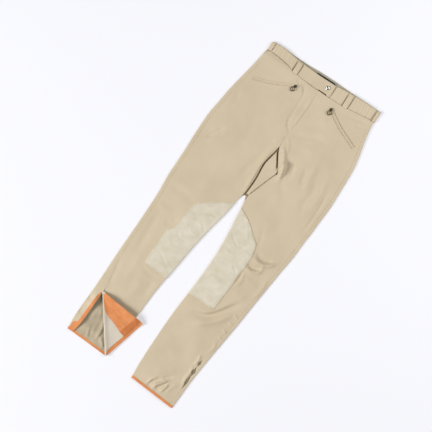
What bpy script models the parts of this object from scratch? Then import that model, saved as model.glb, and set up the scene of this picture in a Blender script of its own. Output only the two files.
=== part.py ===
"""Riding breeches laid flat on their back, as sewn cloth solids with their metal trims.

Lengths are millimetres on the laid-out garment: X runs across the waist, Y towards the waist and
Z up from the table, with the zero point at the middle of the front waist. MM turns them into
metres. "Right" and "left" are the wearer's, so the right leg lies at negative X.
"""

import math
from collections import namedtuple

import bpy
import numpy as np

MM = 0.001

# --- driving sizes, in millimetres -------------------------------------------------------------
CLOTH = 1.2            # stretch twill, one layer
BAND = 2.4             # waistband: two layers and their interlining
SUEDE = 1.0            # knee patches
TRIM = 0.8             # orange facing, pocket welts, label
SEAM = 0.3             # air between neighbouring pieces
REST = 0.45            # air under a piece that lies on a panel
HEM = 10.0             # height of the knitted hem band
WAIST_STACK = 6.3      # floor to the top of the front waistband
TAB_RISE = BAND + SEAM  # how far the closing end of the waistband climbs over the other end
PATCH_LIFT = SUEDE + SEAM
LOOP_WIDTH = 14.0
SNAP_RADIUS = 6.0

# --- outline and height of each leg -------------------------------------------------------------
# outer: side silhouette; inner: edge of the front panel (fly, gusset, then inseam); seat: edge of
# the back panel; wrap: how far the back panel comes round to the front; edge: height of the leg at
# its folded sides; puff: how much higher the middle of the front stands; turn: 1 where the inner
# edge rolls down to meet the back panel, 0 where it ends flat at a seam.
Section = namedtuple("Section", "y outer inner seat wrap edge puff turn")

RIGHT_LEG = [
    Section(-10, -176.5, 5, 0, 9, 6.3, 0.0, 0),
    Section(-40, -178.0, 5, 0, 9, 6.3, 0.0, 0),
    Section(-60, -184.5, 5, 0, 9, 5.9, 0.2, 0),
    Section(-100, -193.5, 5, 0, 9, 5.0, 0.9, 0),
    Section(-140, -202.5, 5, 0, 9, 4.3, 1.4, 0),
    Section(-178, -209.0, 5, 0, 9, 4.0, 1.7, 0),
    Section(-192, -211.0, 1, 0, 9, 4.0, 1.7, 0),
    Section(-232, -216.0, 0, 0, 9, 4.0, 1.7, 0),
    Section(-262, -220.5, -6, 0, 9, 4.0, 1.7, 0),
    Section(-300, -221.0, -12, 0, 9, 4.0, 1.7, 0),
    Section(-340, -221.0, -8, -2, 9, 4.0, 1.7, 0),
    Section(-388, -220.0, -10, -6, 9, 4.0, 1.7, 0),
    Section(-420, -220.5, -16, -16, 9, 4.0, 1.7, 1),
    Section(-470, -221.0, -24, -24, 9, 4.0, 1.7, 1),
    Section(-530, -217.0, -37, -37, 9, 4.0, 1.7, 1),
    Section(-600, -217.5, -50, -50, 9, 4.0, 1.7, 1),
    Section(-680, -219.5, -60, -60, 9, 4.0, 1.7, 1),
    Section(-740, -221.0, -68, -68, 12, 4.0, 1.4, 1),
    Section(-800, -221.5, -73, -73, 19, 4.0, 0.6, 1),
    Section(-848, -222.0, -75, -75, 26, 4.0, 0.0, 1),
    Section(-900, -224.5, -79, -79, 27, 4.0, 0.0, 1),
    Section(-955, -226.0, -85, -85, 26, 4.0, 0.0, 1),
    Section(-980, -224.0, -88, -88, 20, 4.0, 0.0, 1),
    Section(-1000, -217.0, -90, -90, 14, 4.0, 0.0, 1),
]
LEFT_LEG = [
    Section(-10, 188.5, 5, 0, 9, 6.3, 0.0, 0),
    Section(-40, 187.0, 5, 0, 9, 6.3, 0.0, 0),
    Section(-60, 190.0, 5, 0, 9, 5.9, 0.2, 0),
    Section(-100, 198.5, 5, 0, 9, 5.0, 0.9, 0),
    Section(-140, 208.0, 5, 0, 9, 4.3, 1.4, 0),
    Section(-178, 213.5, 5, 0, 9, 4.0, 1.7, 0),
    Section(-192, 214.0, 1, 0, 9, 4.0, 1.7, 0),
    Section(-232, 215.0, 0.5, 0, 9, 4.0, 1.7, 0),
    Section(-250, 215.5, 9, 0, 9, 4.0, 1.7, 0),
    Section(-284, 216.5, 29, 0, 9, 4.0, 1.7, 0),
    Section(-298, 216.5, 35, 0, 9, 4.0, 1.7, 0),
    Section(-320, 215.5, 26, 0, 9, 4.0, 1.7, 0),
    Section(-360, 212.5, 12, -3, 9, 4.0, 1.7, 0),
    Section(-388, 211.5, 2, -6, 9, 4.0, 1.7, 0),
    Section(-420, 208.0, 2, 2, 9, 4.0, 1.7, 1),
    Section(-460, 206.5, 7, 7, 9, 4.0, 1.7, 1),
    Section(-530, 198.0, 14, 14, 9, 4.0, 1.7, 1),
    Section(-590, 191.5, 17, 17, 9, 4.0, 1.7, 1),
    Section(-660, 183.5, 15, 15, 9, 4.0, 1.7, 1),
    Section(-720, 177.5, 10, 10, 10, 4.0, 1.7, 1),
    Section(-780, 170.0, 4.5, 4.5, 12, 4.0, 1.7, 1),
    Section(-850, 161.5, 2, 2, 14, 4.0, 1.7, 1),
    Section(-930, 153.0, 1, 1, 10, 4.0, 1.4, 1),
    Section(-980, 151.0, 2, 2, 9, 4.0, 1.0, 1),
    Section(-1025, 148.0, 7, 7, 9, 4.0, 0.6, 1),
]

# --- waistband: its edges along X ---------------------------------------------------------------
Waist = namedtuple("Waist", "x front_top back_top bottom")
WAIST = [
    Waist(-178, 7, 8, -18),
    Waist(-164, 11.5, 13, -17),
    Waist(-135, 11.5, 13, -18.5),
    Waist(-105, 6.5, 10, -23),
    Waist(-85, 4.5, 9, -30),
    Waist(-55, 2.5, 9, -34.5),
    Waist(-15, 0, 11, -36.5),
    Waist(35, 0, 11, -38),
    Waist(65, 3.5, 9.5, -38),
    Waist(95, 6, 9, -37),
    Waist(135, 7, 9, -32),
    Waist(165, 6.5, 8.5, -28),
    Waist(189, 4, 6.5, -27),
]
BAND_LINE = -30.0      # mean height of the waistband's lower edge
TAB_END = 42.0
TAB_CORNER = 9.0       # radius of the tab's rounded end
TAB_TURNS = np.radians([0, 30, 55, 75, 90])
TAB_MIDDLE = 16.0      # one more column between the climb and the rounded end
TAB_CLIMB = (-47.0, -17.0)
UNDERLAP_END = -14.0   # where the left end of the waistband stops, under the tab
LABEL = dict(x0=-22.0, x1=37.0, y0=-22.0, y1=4.8)
SNAP_AT = (25.0, -17.0)
FRONT_LOOPS = {"right": -77.5, "left": 94.0}

# --- opened cuff of the right leg ---------------------------------------------------------------
APEX = np.array([-195.0, -848.0])      # top of the vent
HEEL = np.array([-90.0, -998.0])       # where hem and inseam meet
CORNER = np.array([-50.0, -862.0])     # the front panel's corner, folded over the leg
FLAP_AIR = 0.6         # between the folded corner and the leg below it
DROOP = 4.0            # how far the corner sinks beside the leg
DROOP_REACH = 24.0
FACING_AIR = 0.8       # more than a flat piece needs, because the corner under it bends
FACING_TIP = np.array([-63.5, -863.5])    # corners of the facing beside the hem band
FACING_FOOT = np.array([-83.5, -919.0])
Binding = namedtuple("Binding", "y left right")
VENT_BINDING = [
    Binding(-853, -200.0, -196.0),
    Binding(-868, -203.5, -196.0),
    Binding(-895, -206.0, -197.0),
    Binding(-930, -207.5, -198.0),
    Binding(-956, -208.5, -199.5),
    Binding(-964, -221.0, -201.0),
    Binding(-982, -220.0, -204.0),
    Binding(-989, -215.0, -206.5),
]

# --- knee patches: front edge of each row, and where that row meets the inner side of the leg ---
PatchRow = namedtuple("PatchRow", "x y y_inner bow")
RIGHT_PATCH = [
    PatchRow(-112, -497, -435, 5),
    PatchRow(-118, -520, -470, 3),
    PatchRow(-121, -540, -500, 2),
    PatchRow(-122, -560, -530, 1),
    PatchRow(-124, -576, -560, 0),
    PatchRow(-127, -588, -590, 0),
    PatchRow(-141, -606, -625, 0),
    PatchRow(-142, -655, -660, 0),
    PatchRow(-143, -690, -690, 0),
    PatchRow(-143, -714, -720, 0),
]
LEFT_PATCH = [
    PatchRow(96, -500, -435, 6),
    PatchRow(102, -520, -470, 3),
    PatchRow(105, -540, -500, 2),
    PatchRow(105, -560, -530, 1),
    PatchRow(104, -580, -560, 0),
    PatchRow(103, -600, -590, 0),
    PatchRow(101, -630, -625, 0),
    PatchRow(99, -660, -660, 0),
    PatchRow(97, -690, -690, 0),
    PatchRow(95, -720, -720, 0),
]
PATCH_BACK = 46.0      # how far a patch runs on under the leg

# --- slanting zip pockets: middle line of each welt, from the side seam to the slider -----------
WELT_WIDTH = 8.0
RIGHT_WELT = [(-168, -108), (-140, -99), (-112, -88), (-82, -73), (-50, -61)]
LEFT_WELT = [(176, -119), (148, -107), (118, -94), (92, -79), (61, -62)]
SLIDER_AT = {"right": (-55.0, -64.0), "left": (66.0, -64.0)}
PULL_LEAN = {"right": -14.0, "left": 4.0}   # degrees from straight down, in the plane of the cloth
PULL_DIP = 6.0         # degrees by which a resting pull slopes down to the cloth
SLIDER = dict(width=7.5, length=9.0, height=2.0)
BRIDGE = dict(width=2.4, length=5.0, height=3.6, bar=1.0)
BRIDGE_SINK = 0.4      # how far the bridge's feet run into the slider's body
BRIDGE_AT = (BRIDGE["length"] - SLIDER["length"]) / 2 + 0.5   # from the body's middle, along the zip
PULL = dict(length=16.5, half_width=7.2, rim=2.3, bar=1.2)
PIN_HEIGHT = 1.1       # the pull's bar above the slider's body

# --- small pieces -------------------------------------------------------------------------------
GUSSET_ROWS = (-234, -250, -267, -284, -298, -320, -342, -365, -388, -393)
GUSSET_TUCK = 9.0      # how far the gusset runs in under the right front panel
GUSSET_CLOTH = 1.0
LOOP_ARCH = 1.0        # how far the middle of a flat belt loop stands off the waistband
LOOP_BELOW = 2.5       # how far a flat loop's end reaches past the waistband's lower edge
LOOP_SHORT = 1.5       # how far its other end stops short of the upper edge
SIDE_LOOP_RUNS = (5.5, 2.7, 0.0)                      # flat stretch of a side loop
SIDE_LOOP_TURNS = np.radians([25, 50, 75, 100, 122])  # and its turn round the fold


# ------------------------------------------------------------------------------------------------
# curves read from the tables
# ------------------------------------------------------------------------------------------------
def smooth(places, values, at):
    """A cubic through (places, values) that never overshoots a row: Hermite pieces whose slope at
    each row is the harmonic mean of the slopes beside it, or zero at a turning point."""
    places, values = np.asarray(places, float), np.asarray(values, float)
    if places[0] > places[-1]:
        places, values = places[::-1], values[::-1]
    step = np.diff(places)
    rise = np.diff(values) / step
    slope = np.zeros(len(places))
    same_way = rise[:-1] * rise[1:] > 0
    both = np.where(same_way, rise[:-1] + rise[1:], 1.0)
    slope[1:-1] = np.where(same_way, 2 * rise[:-1] * rise[1:] / both, 0.0)
    slope[0], slope[-1] = rise[0], rise[-1]
    at = np.clip(np.asarray(at, float), places[0], places[-1])
    i = np.clip(np.searchsorted(places, at, side="right") - 1, 0, len(step) - 1)
    u = (at - places[i]) / step[i]
    return (
        values[i] * (1 + 2 * u) * (1 - u) ** 2
        + slope[i] * step[i] * u * (1 - u) ** 2
        + values[i + 1] * u**2 * (3 - 2 * u)
        + slope[i + 1] * step[i] * u**2 * (u - 1)
    )


def column(table, name, at):
    """One named column of a table, read at any place along its first column."""
    return smooth([row[0] for row in table], [getattr(row, name) for row in table], at)


def step_up(value, low, high):
    """0 below low, 1 above high, with soft ends between them."""
    u = np.clip((np.asarray(value, float) - low) / (high - low), 0.0, 1.0)
    return u * u * (3 - 2 * u)


def patch_lift(y, share):
    """How far a leg is lifted near its inner side by the knee patch that runs on under it."""
    along = step_up(y, -790, -735) * (1 - step_up(y, -425, -388))
    return PATCH_LIFT * along * step_up(share, 0.42, 0.60)


def bulge(y, share):
    """Puff across the front, from 0 at the side to 1: a leg falls again at its inner side, while
    the body stays high as far as the middle of the garment."""
    body = step_up(y, -330, -180)
    return (1 - body) * np.sin(np.pi * share) + body * np.sin(np.pi * share / 2)


def front_top(leg, x, y):
    """Height of the outer face of a leg's front panel."""
    outer = column(leg, "outer", y)
    share = np.clip((x - outer) / (column(leg, "inner", y) - outer), 0.0, 1.0)
    height = column(leg, "edge", y) + patch_lift(y, share)
    return height + column(leg, "puff", y) * bulge(y, share)


# ------------------------------------------------------------------------------------------------
# solids
# ------------------------------------------------------------------------------------------------
def material(name, colour, roughness, metallic=0.0):
    """A plain Principled material; the colour is an sRGB hex string."""
    made = bpy.data.materials.new(name)
    made.use_nodes = True
    parts = [int(colour[i : i + 2], 16) / 255 for i in (0, 2, 4)]
    linear = [c / 12.92 if c <= 0.04045 else ((c + 0.055) / 1.055) ** 2.4 for c in parts]
    shader = made.node_tree.nodes["Principled BSDF"]
    shader.inputs["Base Color"].default_value = (*linear, 1.0)
    shader.inputs["Roughness"].default_value = roughness
    shader.inputs["Metallic"].default_value = metallic
    made.diffuse_color = (*linear, 1.0)
    return made


def add_object(name, points, faces, made_of, smooth_faces=False, origin=(0, 0, 0)):
    """One object from points in millimetres, with its origin where a hinge needs it."""
    points = np.asarray(points, float).reshape(-1, 3)
    mesh = bpy.data.meshes.new(name)
    mesh.from_pydata((points * MM).tolist(), [], faces)
    if signed_volume(points, faces) < 0:
        mesh.flip_normals()
    mesh.materials.append(made_of)
    if smooth_faces:
        mesh.shade_smooth()
        mesh.set_sharp_from_angle(angle=math.radians(40))
    built = bpy.data.objects.new(name, mesh)
    built.location = np.array(origin, float) * MM
    bpy.context.collection.objects.link(built)
    return built


def signed_volume(points, faces):
    """Six times the volume, positive when the faces point outwards."""
    total = 0.0
    for face in faces:
        for b, c in zip(face[1:-1], face[2:]):
            total += np.dot(points[face[0]], np.cross(points[b], points[c]))
    return total


def wall(name, outer, inner, made_of):
    """A closed wall between two grids of points (rows, columns, 3)."""
    rows, cols = outer.shape[:2]
    points = np.concatenate([outer.reshape(-1, 3), inner.reshape(-1, 3)])
    index = np.arange(rows * cols).reshape(rows, cols)
    under = index + rows * cols
    faces = []
    for i in range(rows - 1):
        for j in range(cols - 1):
            faces.append((index[i, j], index[i, j + 1], index[i + 1, j + 1], index[i + 1, j]))
            faces.append((under[i, j], under[i + 1, j], under[i + 1, j + 1], under[i, j + 1]))
    rim = list(index[0]) + list(index[1:, -1]) + list(index[-1, -2::-1]) + list(index[-2:0:-1, 0])
    for a, b in zip(rim, rim[1:] + rim[:1]):
        faces.append((b, a, a + rows * cols, b + rows * cols))
    faces = [tuple(int(v) for v in face) for face in faces]
    return add_object(name, points, faces, made_of, smooth_faces=True)


def wall_about(name, middle, normal, thickness, made_of):
    """A wall of even thickness about a middle surface and its normals."""
    half = normal * thickness / 2
    return wall(name, middle + half, middle - half, made_of)


def slab_on(name, x, y, under, thickness, made_of):
    """A thin piece lying level on heights already worked out for each of its points."""
    lower = np.stack([x, y, under], axis=-1)
    return wall(name, lower + [0, 0, thickness], lower, made_of)


# ------------------------------------------------------------------------------------------------
# panels: rows across the leg, each a half ring in the upright plane of that row
# ------------------------------------------------------------------------------------------------
FLAT_STEPS = 8
ROLLED = 0.5           # above this share of turn an inner edge rolls down, below it is a flat seam
QUARTER = np.radians([30, 60, 90])
HALF_TURN = np.radians([45, 90, 135])


def row_points(a, b, along, waist_share):
    """Plan points at shares `along` of the line a-b; the first rows follow the waistband's edge."""
    plan = a + np.outer(along, b - a)
    plan[:, 1] += waist_share * (column(WAIST, "bottom", plan[:, 0]) - BAND_LINE)
    return plan


def turned_end(plan_end, towards, radius, middle_radius, height, turn, down):
    """Points and normals of the rolled inner edge, blended with a flat end where turn is 0."""
    sign = -1.0 if down else 1.0
    centre = plan_end - towards * radius
    points, normals = [], []
    for angle in QUARTER:
        reach, rise = math.sin(angle), sign * math.cos(angle)
        rolled = np.append(centre + towards * middle_radius * reach, 0.0)
        rolled[2] = height - sign * middle_radius + middle_radius * rise
        flat = np.append(centre + towards * radius * angle / QUARTER[-1], height)
        lean = np.append(towards * reach, rise)
        points.append(turn * rolled + (1 - turn) * flat)
        normal = turn * lean + (1 - turn) * np.array([0, 0, sign])
        normals.append(normal / np.linalg.norm(normal))
    return points, normals


def front_row(leg, y_outer, y_inner, thickness, waist_share=0.0):
    """Middle points and normals of a front panel along one row, from the wrap to the inner edge."""
    side = np.sign(column(leg, "outer", y_outer))
    edge, turn = column(leg, "edge", y_inner), column(leg, "turn", y_inner)
    wrap = column(leg, "wrap", y_outer) + SEAM
    a = np.array([column(leg, "outer", y_outer) - side * wrap, y_outer])
    b = np.array([column(leg, "inner", y_inner), y_inner])
    if turn < ROLLED:
        b[0] += side * SEAM / 2
    towards = (b - a) / np.linalg.norm(b - a)
    radius = edge / 2
    flat_share = 1 - radius / np.linalg.norm(b - a)
    plan = row_points(a, b, np.linspace(0, flat_share, FLAT_STEPS), waist_share)
    top = front_top(leg, plan[:, 0], plan[:, 1]) - thickness / 2
    points = [np.append(p, z) for p, z in zip(plan, top)]
    normals = [np.array([0, 0, 1.0])] * len(points)
    end = row_points(a, b, np.array([1.0]), waist_share)[0]
    end_height = front_top(leg, *end) - thickness / 2
    more, leans = turned_end(
        end, towards, radius, radius - thickness / 2, end_height, turn, down=False
    )
    if turn > ROLLED:
        more[-1][2] = max(more[-1][2], end_height - radius + thickness / 2 + SEAM / 2)
    return np.array(points + more), np.array(normals + leans)


def back_row(leg, y_outer, y_inner, thickness, waist_share=0.0):
    """Middle points and normals of a back panel: its wrap, the side fold, the floor, the inner edge."""
    outer = column(leg, "outer", y_outer)
    side = np.sign(outer)
    edge, turn = column(leg, "edge", y_outer), column(leg, "turn", y_inner)
    radius = edge / 2
    middle = radius - thickness / 2
    b = np.array([column(leg, "seat", y_inner), y_inner])
    if turn < ROLLED:
        b[0] += side * SEAM / 2
    points, normals = [], []
    y_side = y_outer + waist_share * (column(WAIST, "bottom", outer) - BAND_LINE)
    for reach in np.linspace(column(leg, "wrap", y_outer), radius, 3):
        points.append(np.array([outer - side * reach, y_side, edge - thickness / 2]))
        normals.append(np.array([0, 0, 1.0]))
    for angle in HALF_TURN:
        lean = np.array([side * math.sin(angle), 0, math.cos(angle)])
        points.append(np.array([outer - side * radius, y_side, radius]) + middle * lean)
        normals.append(lean)
    a = np.array([outer - side * radius, y_outer])
    towards = (b - a) / np.linalg.norm(b - a)
    flat_share = 1 - radius / np.linalg.norm(b - a)
    share = np.linspace(0, flat_share, FLAT_STEPS)
    plan = row_points(a, b, share, waist_share)
    floor = patch_lift(plan[:, 1], share) + thickness / 2
    points += [np.append(p, z) for p, z in zip(plan, floor)]
    normals += [np.array([0, 0, -1.0])] * len(plan)
    end = row_points(a, b, np.array([1.0]), waist_share)[0]
    more, leans = turned_end(end, towards, radius, middle, floor[-1], turn, down=True)
    if turn > ROLLED:
        more[-1][2] -= SEAM / 2
    return np.array(points + more), np.array(normals + leans)


def panel_rows(make_row, leg, rows, thickness=CLOTH):
    """Stacks the rows of a panel; each is (y at the side, y at the inner edge, waist share)."""
    made = [make_row(leg, *row[:2], thickness, row[2]) for row in rows]
    return np.array([m[0] for m in made]), np.array([m[1] for m in made])


WAIST_ROWS = [(BAND_LINE - SEAM, BAND_LINE - SEAM, 1.0), (-55, -55, 0.6), (-85, -85, 0.2)]
BODY_ROWS = [(y, y, 0.0) for y in (-118, -150, -178, -192, -213, -232, -250, -267, -284, -298)]
THIGH_ROWS = [(y, y, 0.0) for y in (-320, -342, -365, -388, -404, -420, -435, -470)]
KNEE_ROWS = [(y, y, 0.0) for y in (-500, -530, -560, -590, -625, -660, -690, -720)]
LEFT_CALF_ROWS = [(y, y, 0.0) for y in (-750, -780, -815, -850, -890, -930, -965)]
LEFT_HEM_TOP = (-1009.5, -998.5, 0.0)
LEFT_HEM = (-1019.5, -1008.5, 0.0)
RIGHT_CALF_ROWS = [(y, y, 0.0) for y in (-750, -780, -815, -848, -880, -915, -955)]
RIGHT_HEM_TOP = (-980.5, -988.5, 0.0)
RIGHT_HEM = (-990.5, -998.0, 0.0)
RIGHT_FOLD_ROWS = [(-742, -756, 0.0), (-768, -800, 0.0), (-794, -848, 0.0), (-816, -900, 0.0)]
RIGHT_FOLD_ROWS += [(-833, -950, 0.0)]
SHARED_ROWS = WAIST_ROWS + BODY_ROWS + THIGH_ROWS + KNEE_ROWS


def below(row):
    """The same row moved down by the air at a seam."""
    return (row[0] - SEAM, row[1] - SEAM, row[2])


def back_panels(twill):
    """Both backs lie on the table; each comes round the side of its leg to the side seam."""
    legs = (
        ("right", RIGHT_LEG, RIGHT_CALF_ROWS + [RIGHT_HEM_TOP]),
        ("left", LEFT_LEG, LEFT_CALF_ROWS + [LEFT_HEM_TOP]),
    )
    for side, leg, calf in legs:
        middle, normal = panel_rows(back_row, leg, SHARED_ROWS + calf)
        wall_about(f"back_panel_{side}", middle, normal, CLOTH, twill)


def left_front_panel(twill):
    middle, normal = panel_rows(front_row, LEFT_LEG, SHARED_ROWS + LEFT_CALF_ROWS + [LEFT_HEM_TOP])
    wall_about("front_panel_left", middle, normal, CLOTH, twill)


# ------------------------------------------------------------------------------------------------
# the opened cuff: the front panel's corner folded up over the leg
# ------------------------------------------------------------------------------------------------
FOLD_DIRECTION = (HEEL - APEX) / np.linalg.norm(HEEL - APEX)
FOLD_OUT = np.array([FOLD_DIRECTION[1], -FOLD_DIRECTION[0]])   # away from the leg, square to it
ROLL_MIDDLE = (FLAP_AIR + CLOTH) / 2
FOLD_RADIUS = ROLL_MIDDLE + CLOTH / 2
LEG_TOP = 4.0          # outer face of the front panel at the cuff
FLAP_MIDDLE = LEG_TOP + FLAP_AIR + CLOTH / 2
COLUMNS = np.append(np.linspace(0, 0.955, FLAT_STEPS), [0.97, 0.985, 1.0])   # along the fold
FOLD_TURNS = np.radians([0, 45, 90, 135])
FLAP_SHARES = (0.0, 0.10, 0.3, 0.5, 0.62, 0.72, 0.8, 0.87, 0.93)   # from the fold to the tip
HEM_SHARE = 0.10       # from here on the corner stops short of its hem band


def flap_height(x, y, base=FLAP_MIDDLE):
    """Height of the folded corner: level on the leg, sinking beside it."""
    beyond = x - column(RIGHT_LEG, "inner", y)
    return base - DROOP * step_up(beyond, 0.0, DROOP_REACH)


def flap_plan(share, along, hem_inset):
    """Plan points of the folded corner at `share` of the way from the fold to its tip."""
    a = APEX - FOLD_OUT * FOLD_RADIUS
    b = HEEL - FOLD_OUT * FOLD_RADIUS
    tip = CORNER
    hem = (tip - b) / np.linalg.norm(tip - b)
    inwards = np.array([-hem[1], hem[0]])
    start, end = a + share * (tip - a), b + share * (tip - b) + inwards * hem_inset
    return start + np.outer(along, end - start)


def folded_rows():
    """The roll at the fold, then the corner lying face down on the leg."""
    a = APEX - FOLD_OUT * FOLD_RADIUS
    b = HEEL - FOLD_OUT * FOLD_RADIUS
    axis = a + np.outer(COLUMNS, b - a)
    points, normals = [], []
    for angle in FOLD_TURNS:
        swing = ROLL_MIDDLE * math.sin(angle)
        height = LEG_TOP + FLAP_AIR / 2 - ROLL_MIDDLE * math.cos(angle)
        plan = axis + FOLD_OUT * swing
        points.append(np.column_stack([plan, np.full(len(plan), height)]))
        lean = np.append(-FOLD_OUT * math.sin(angle), math.cos(angle))
        normals.append(np.tile(lean, (len(plan), 1)))
    for share in FLAP_SHARES:
        plan = flap_plan(share, COLUMNS, (HEM + 2 * SEAM) * min(share / HEM_SHARE, 1.0))
        height = flap_height(plan[:, 0], plan[:, 1])
        points.append(np.column_stack([plan, height]))
        normals.append(np.tile([0.0, 0.0, -1.0], (len(plan), 1)))
    return np.array(points), np.array(normals)


def right_front_panel(twill):
    middle, normal = panel_rows(front_row, RIGHT_LEG, SHARED_ROWS + RIGHT_FOLD_ROWS)
    more, leans = folded_rows()
    wall_about(
        "front_panel_right",
        np.concatenate([middle, more]),
        np.concatenate([normal, leans]),
        CLOTH,
        twill,
    )


def hem_bands(orange):
    """Knitted bands that finish the hems in line with the panels."""
    pieces = (
        ("hem_band_left_front", front_row, LEFT_LEG, LEFT_HEM_TOP, LEFT_HEM),
        ("hem_band_left_back", back_row, LEFT_LEG, LEFT_HEM_TOP, LEFT_HEM),
        ("hem_band_right_back", back_row, RIGHT_LEG, RIGHT_HEM_TOP, RIGHT_HEM),
    )
    for name, make_row, leg, top, bottom in pieces:
        middle, normal = panel_rows(make_row, leg, [below(top), bottom])
        wall_about(name, middle, normal, CLOTH, orange)
    flap_hem_band(orange)


def flap_hem_band(orange):
    """The band along the hem of the folded corner."""
    b = HEEL - FOLD_OUT * FOLD_RADIUS
    hem = (CORNER - b) / np.linalg.norm(CORNER - b)
    inwards = np.array([-hem[1], hem[0]])
    along = np.linspace(0.13, 0.985, 7)
    rows = [b + np.outer(along, CORNER - b) + inwards * inset for inset in (0.0, HEM / 2, HEM)]
    plan = np.array(rows)
    height = flap_height(plan[..., 0], plan[..., 1])
    middle = np.concatenate([plan, height[..., None]], axis=-1)
    normal = np.zeros_like(middle)
    normal[..., 2] = 1.0
    wall_about("hem_band_right_front", middle, normal, CLOTH, orange)


def vent_trims(orange):
    """The facing that shows on the folded corner, and the binding of the back panel's vent edge."""
    shares = np.linspace(0.07, 1.0, 8)
    across = np.linspace(0.0, 1.0, 5)
    to_tip, to_foot = FACING_TIP - APEX, FACING_FOOT - APEX
    plan = APEX + shares[:, None, None] * (
        (1 - across)[None, :, None] * to_tip + across[None, :, None] * to_foot
    )
    under = flap_height(plan[..., 0], plan[..., 1], FLAP_MIDDLE + CLOTH / 2 + FACING_AIR)
    slab_on("vent_facing_right", plan[..., 0], plan[..., 1], under, TRIM, orange)

    y = np.array([row.y for row in VENT_BINDING], float)
    share = np.linspace(0, 1, 3)
    left = np.array([row.left for row in VENT_BINDING])[:, None]
    right = np.array([row.right for row in VENT_BINDING])[:, None]
    x = left + share * (right - left)
    under = np.full(x.shape, LEG_TOP + SEAM)
    slab_on("vent_binding_right", x, np.repeat(y[:, None], 3, axis=1), under, 1.0, orange)


# ------------------------------------------------------------------------------------------------
# crotch gusset and knee patches
# ------------------------------------------------------------------------------------------------
def crotch_gusset(twill):
    """The diamond between the legs: sewn to the left front, tucked under the right one."""
    y = np.array(GUSSET_ROWS, float)
    right = column(LEFT_LEG, "inner", y) - SEAM / 2
    left = column(RIGHT_LEG, "inner", y) - GUSSET_TUCK
    share = np.linspace(0, 1, 6)
    x = left[:, None] + share * (right - left)[:, None]
    rows = np.repeat(y[:, None], len(share), axis=1)
    low = CLOTH + SEAM
    high = front_top(LEFT_LEG, right + SEAM, y) - CLOTH
    reach = (column(RIGHT_LEG, "inner", y) + 1.5)[:, None]
    rise = np.clip((x - reach) / np.maximum(right[:, None] - reach, 1.0), 0, 1)
    under = low + (high[:, None] - low) * rise * rise * (3 - 2 * rise)
    slab_on("crotch_gusset", x, rows, under, GUSSET_CLOTH, twill)


def knee_patch(name, leg, rows, suede):
    """Suede over the inner knee: along the front, round the inner side, and on under the leg."""
    shares = np.linspace(0, 1, 7)
    points, normals = [], []
    for row in rows:
        edge = column(leg, "edge", row.y_inner)
        radius = edge / 2
        a = np.array([row.x, row.y], float)
        b = np.array([column(leg, "inner", row.y_inner), row.y_inner], float)
        length = np.linalg.norm(b - a)
        towards = (b - a) / length
        plan = a + np.outer(shares * (1 - radius / length), b - a)
        plan[:, 1] += row.bow * np.sin(np.pi * shares)
        height = front_top(leg, plan[:, 0], plan[:, 1]) + SEAM + SUEDE / 2
        centre = np.append(plan[-1], PATCH_LIFT + radius)
        line = [np.append(p, z) for p, z in zip(plan, height)]
        lean = [np.array([0, 0, 1.0])] * len(line)
        for angle in np.radians([30, 60, 90, 120, 150]):
            out = np.append(towards * math.sin(angle), math.cos(angle))
            line.append(centre + out * (radius + SEAM + SUEDE / 2))
            lean.append(out)
        for back in np.linspace(0, PATCH_BACK, 4):
            line.append(np.append(plan[-1] - towards * back, SUEDE / 2))
            lean.append(np.array([0, 0, -1.0]))
        points.append(line)
        normals.append(lean)
    wall_about(name, np.array(points), np.array(normals), SUEDE, suede)


# ------------------------------------------------------------------------------------------------
# waistband, loops, label and snap
# ------------------------------------------------------------------------------------------------
BAND_SHARES = np.linspace(0, 1, 3)
BAND_RADIUS = WAIST_STACK / 2
BAND_MIDDLE = BAND_RADIUS - BAND / 2


def band_edges(x, top_name):
    """Lower and upper edge of the waistband at x."""
    return column(WAIST, "bottom", x) + SEAM / 2, column(WAIST, top_name, x)


def side_of_waist(side):
    leg = RIGHT_LEG if side < 0 else LEFT_LEG
    return float(column(leg, "outer", -10)), float(column(leg, "wrap", -10))


def front_waistband(name, x, twill, rounded=False):
    """One front end of the waistband; the closing end climbs over the other and is rounded."""
    low, high = band_edges(x, "front_top")
    if rounded:
        corner = np.clip(x - (TAB_END - TAB_CORNER), 0, TAB_CORNER)
        cut = TAB_CORNER - np.sqrt(TAB_CORNER**2 - corner**2 * 0.985)
        low, high = low + cut, high - cut
    y = low + BAND_SHARES[:, None] * (high - low)
    xs = np.repeat(x[None], len(BAND_SHARES), axis=0)
    climb = TAB_RISE * step_up(x, *TAB_CLIMB) if rounded else np.zeros(len(x))
    under = np.repeat((WAIST_STACK - BAND + climb)[None], len(BAND_SHARES), axis=0)
    slab_on(name, xs, y, under, BAND, twill)


def front_waistbands(twill):
    """Both ends of the band, each from its side seam to where it stops at the closure."""
    ends = []
    for side in (-1, 1):
        outer, wrap = side_of_waist(side)
        ends.append(outer - side * (wrap + SEAM))
    climb = np.linspace(*TAB_CLIMB, 5)
    rounding = TAB_END - TAB_CORNER * (1 - np.sin(TAB_TURNS))
    tab = [ends[0], *panel_columns(front_row, RIGHT_LEG)[1:], *climb, TAB_MIDDLE, *rounding]
    front_waistband("waistband_front_right", np.unique(tab), twill, rounded=True)
    under = [UNDERLAP_END, *panel_columns(front_row, LEFT_LEG)[1:], ends[1]]
    front_waistband("waistband_front_left", np.unique(under), twill)


def panel_columns(make_row, leg):
    """X of each column of a panel's top row, so that the waistband above it bends at the same places."""
    return make_row(leg, *WAIST_ROWS[0][:2], CLOTH, WAIST_ROWS[0][2])[0][:, 0]


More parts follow.
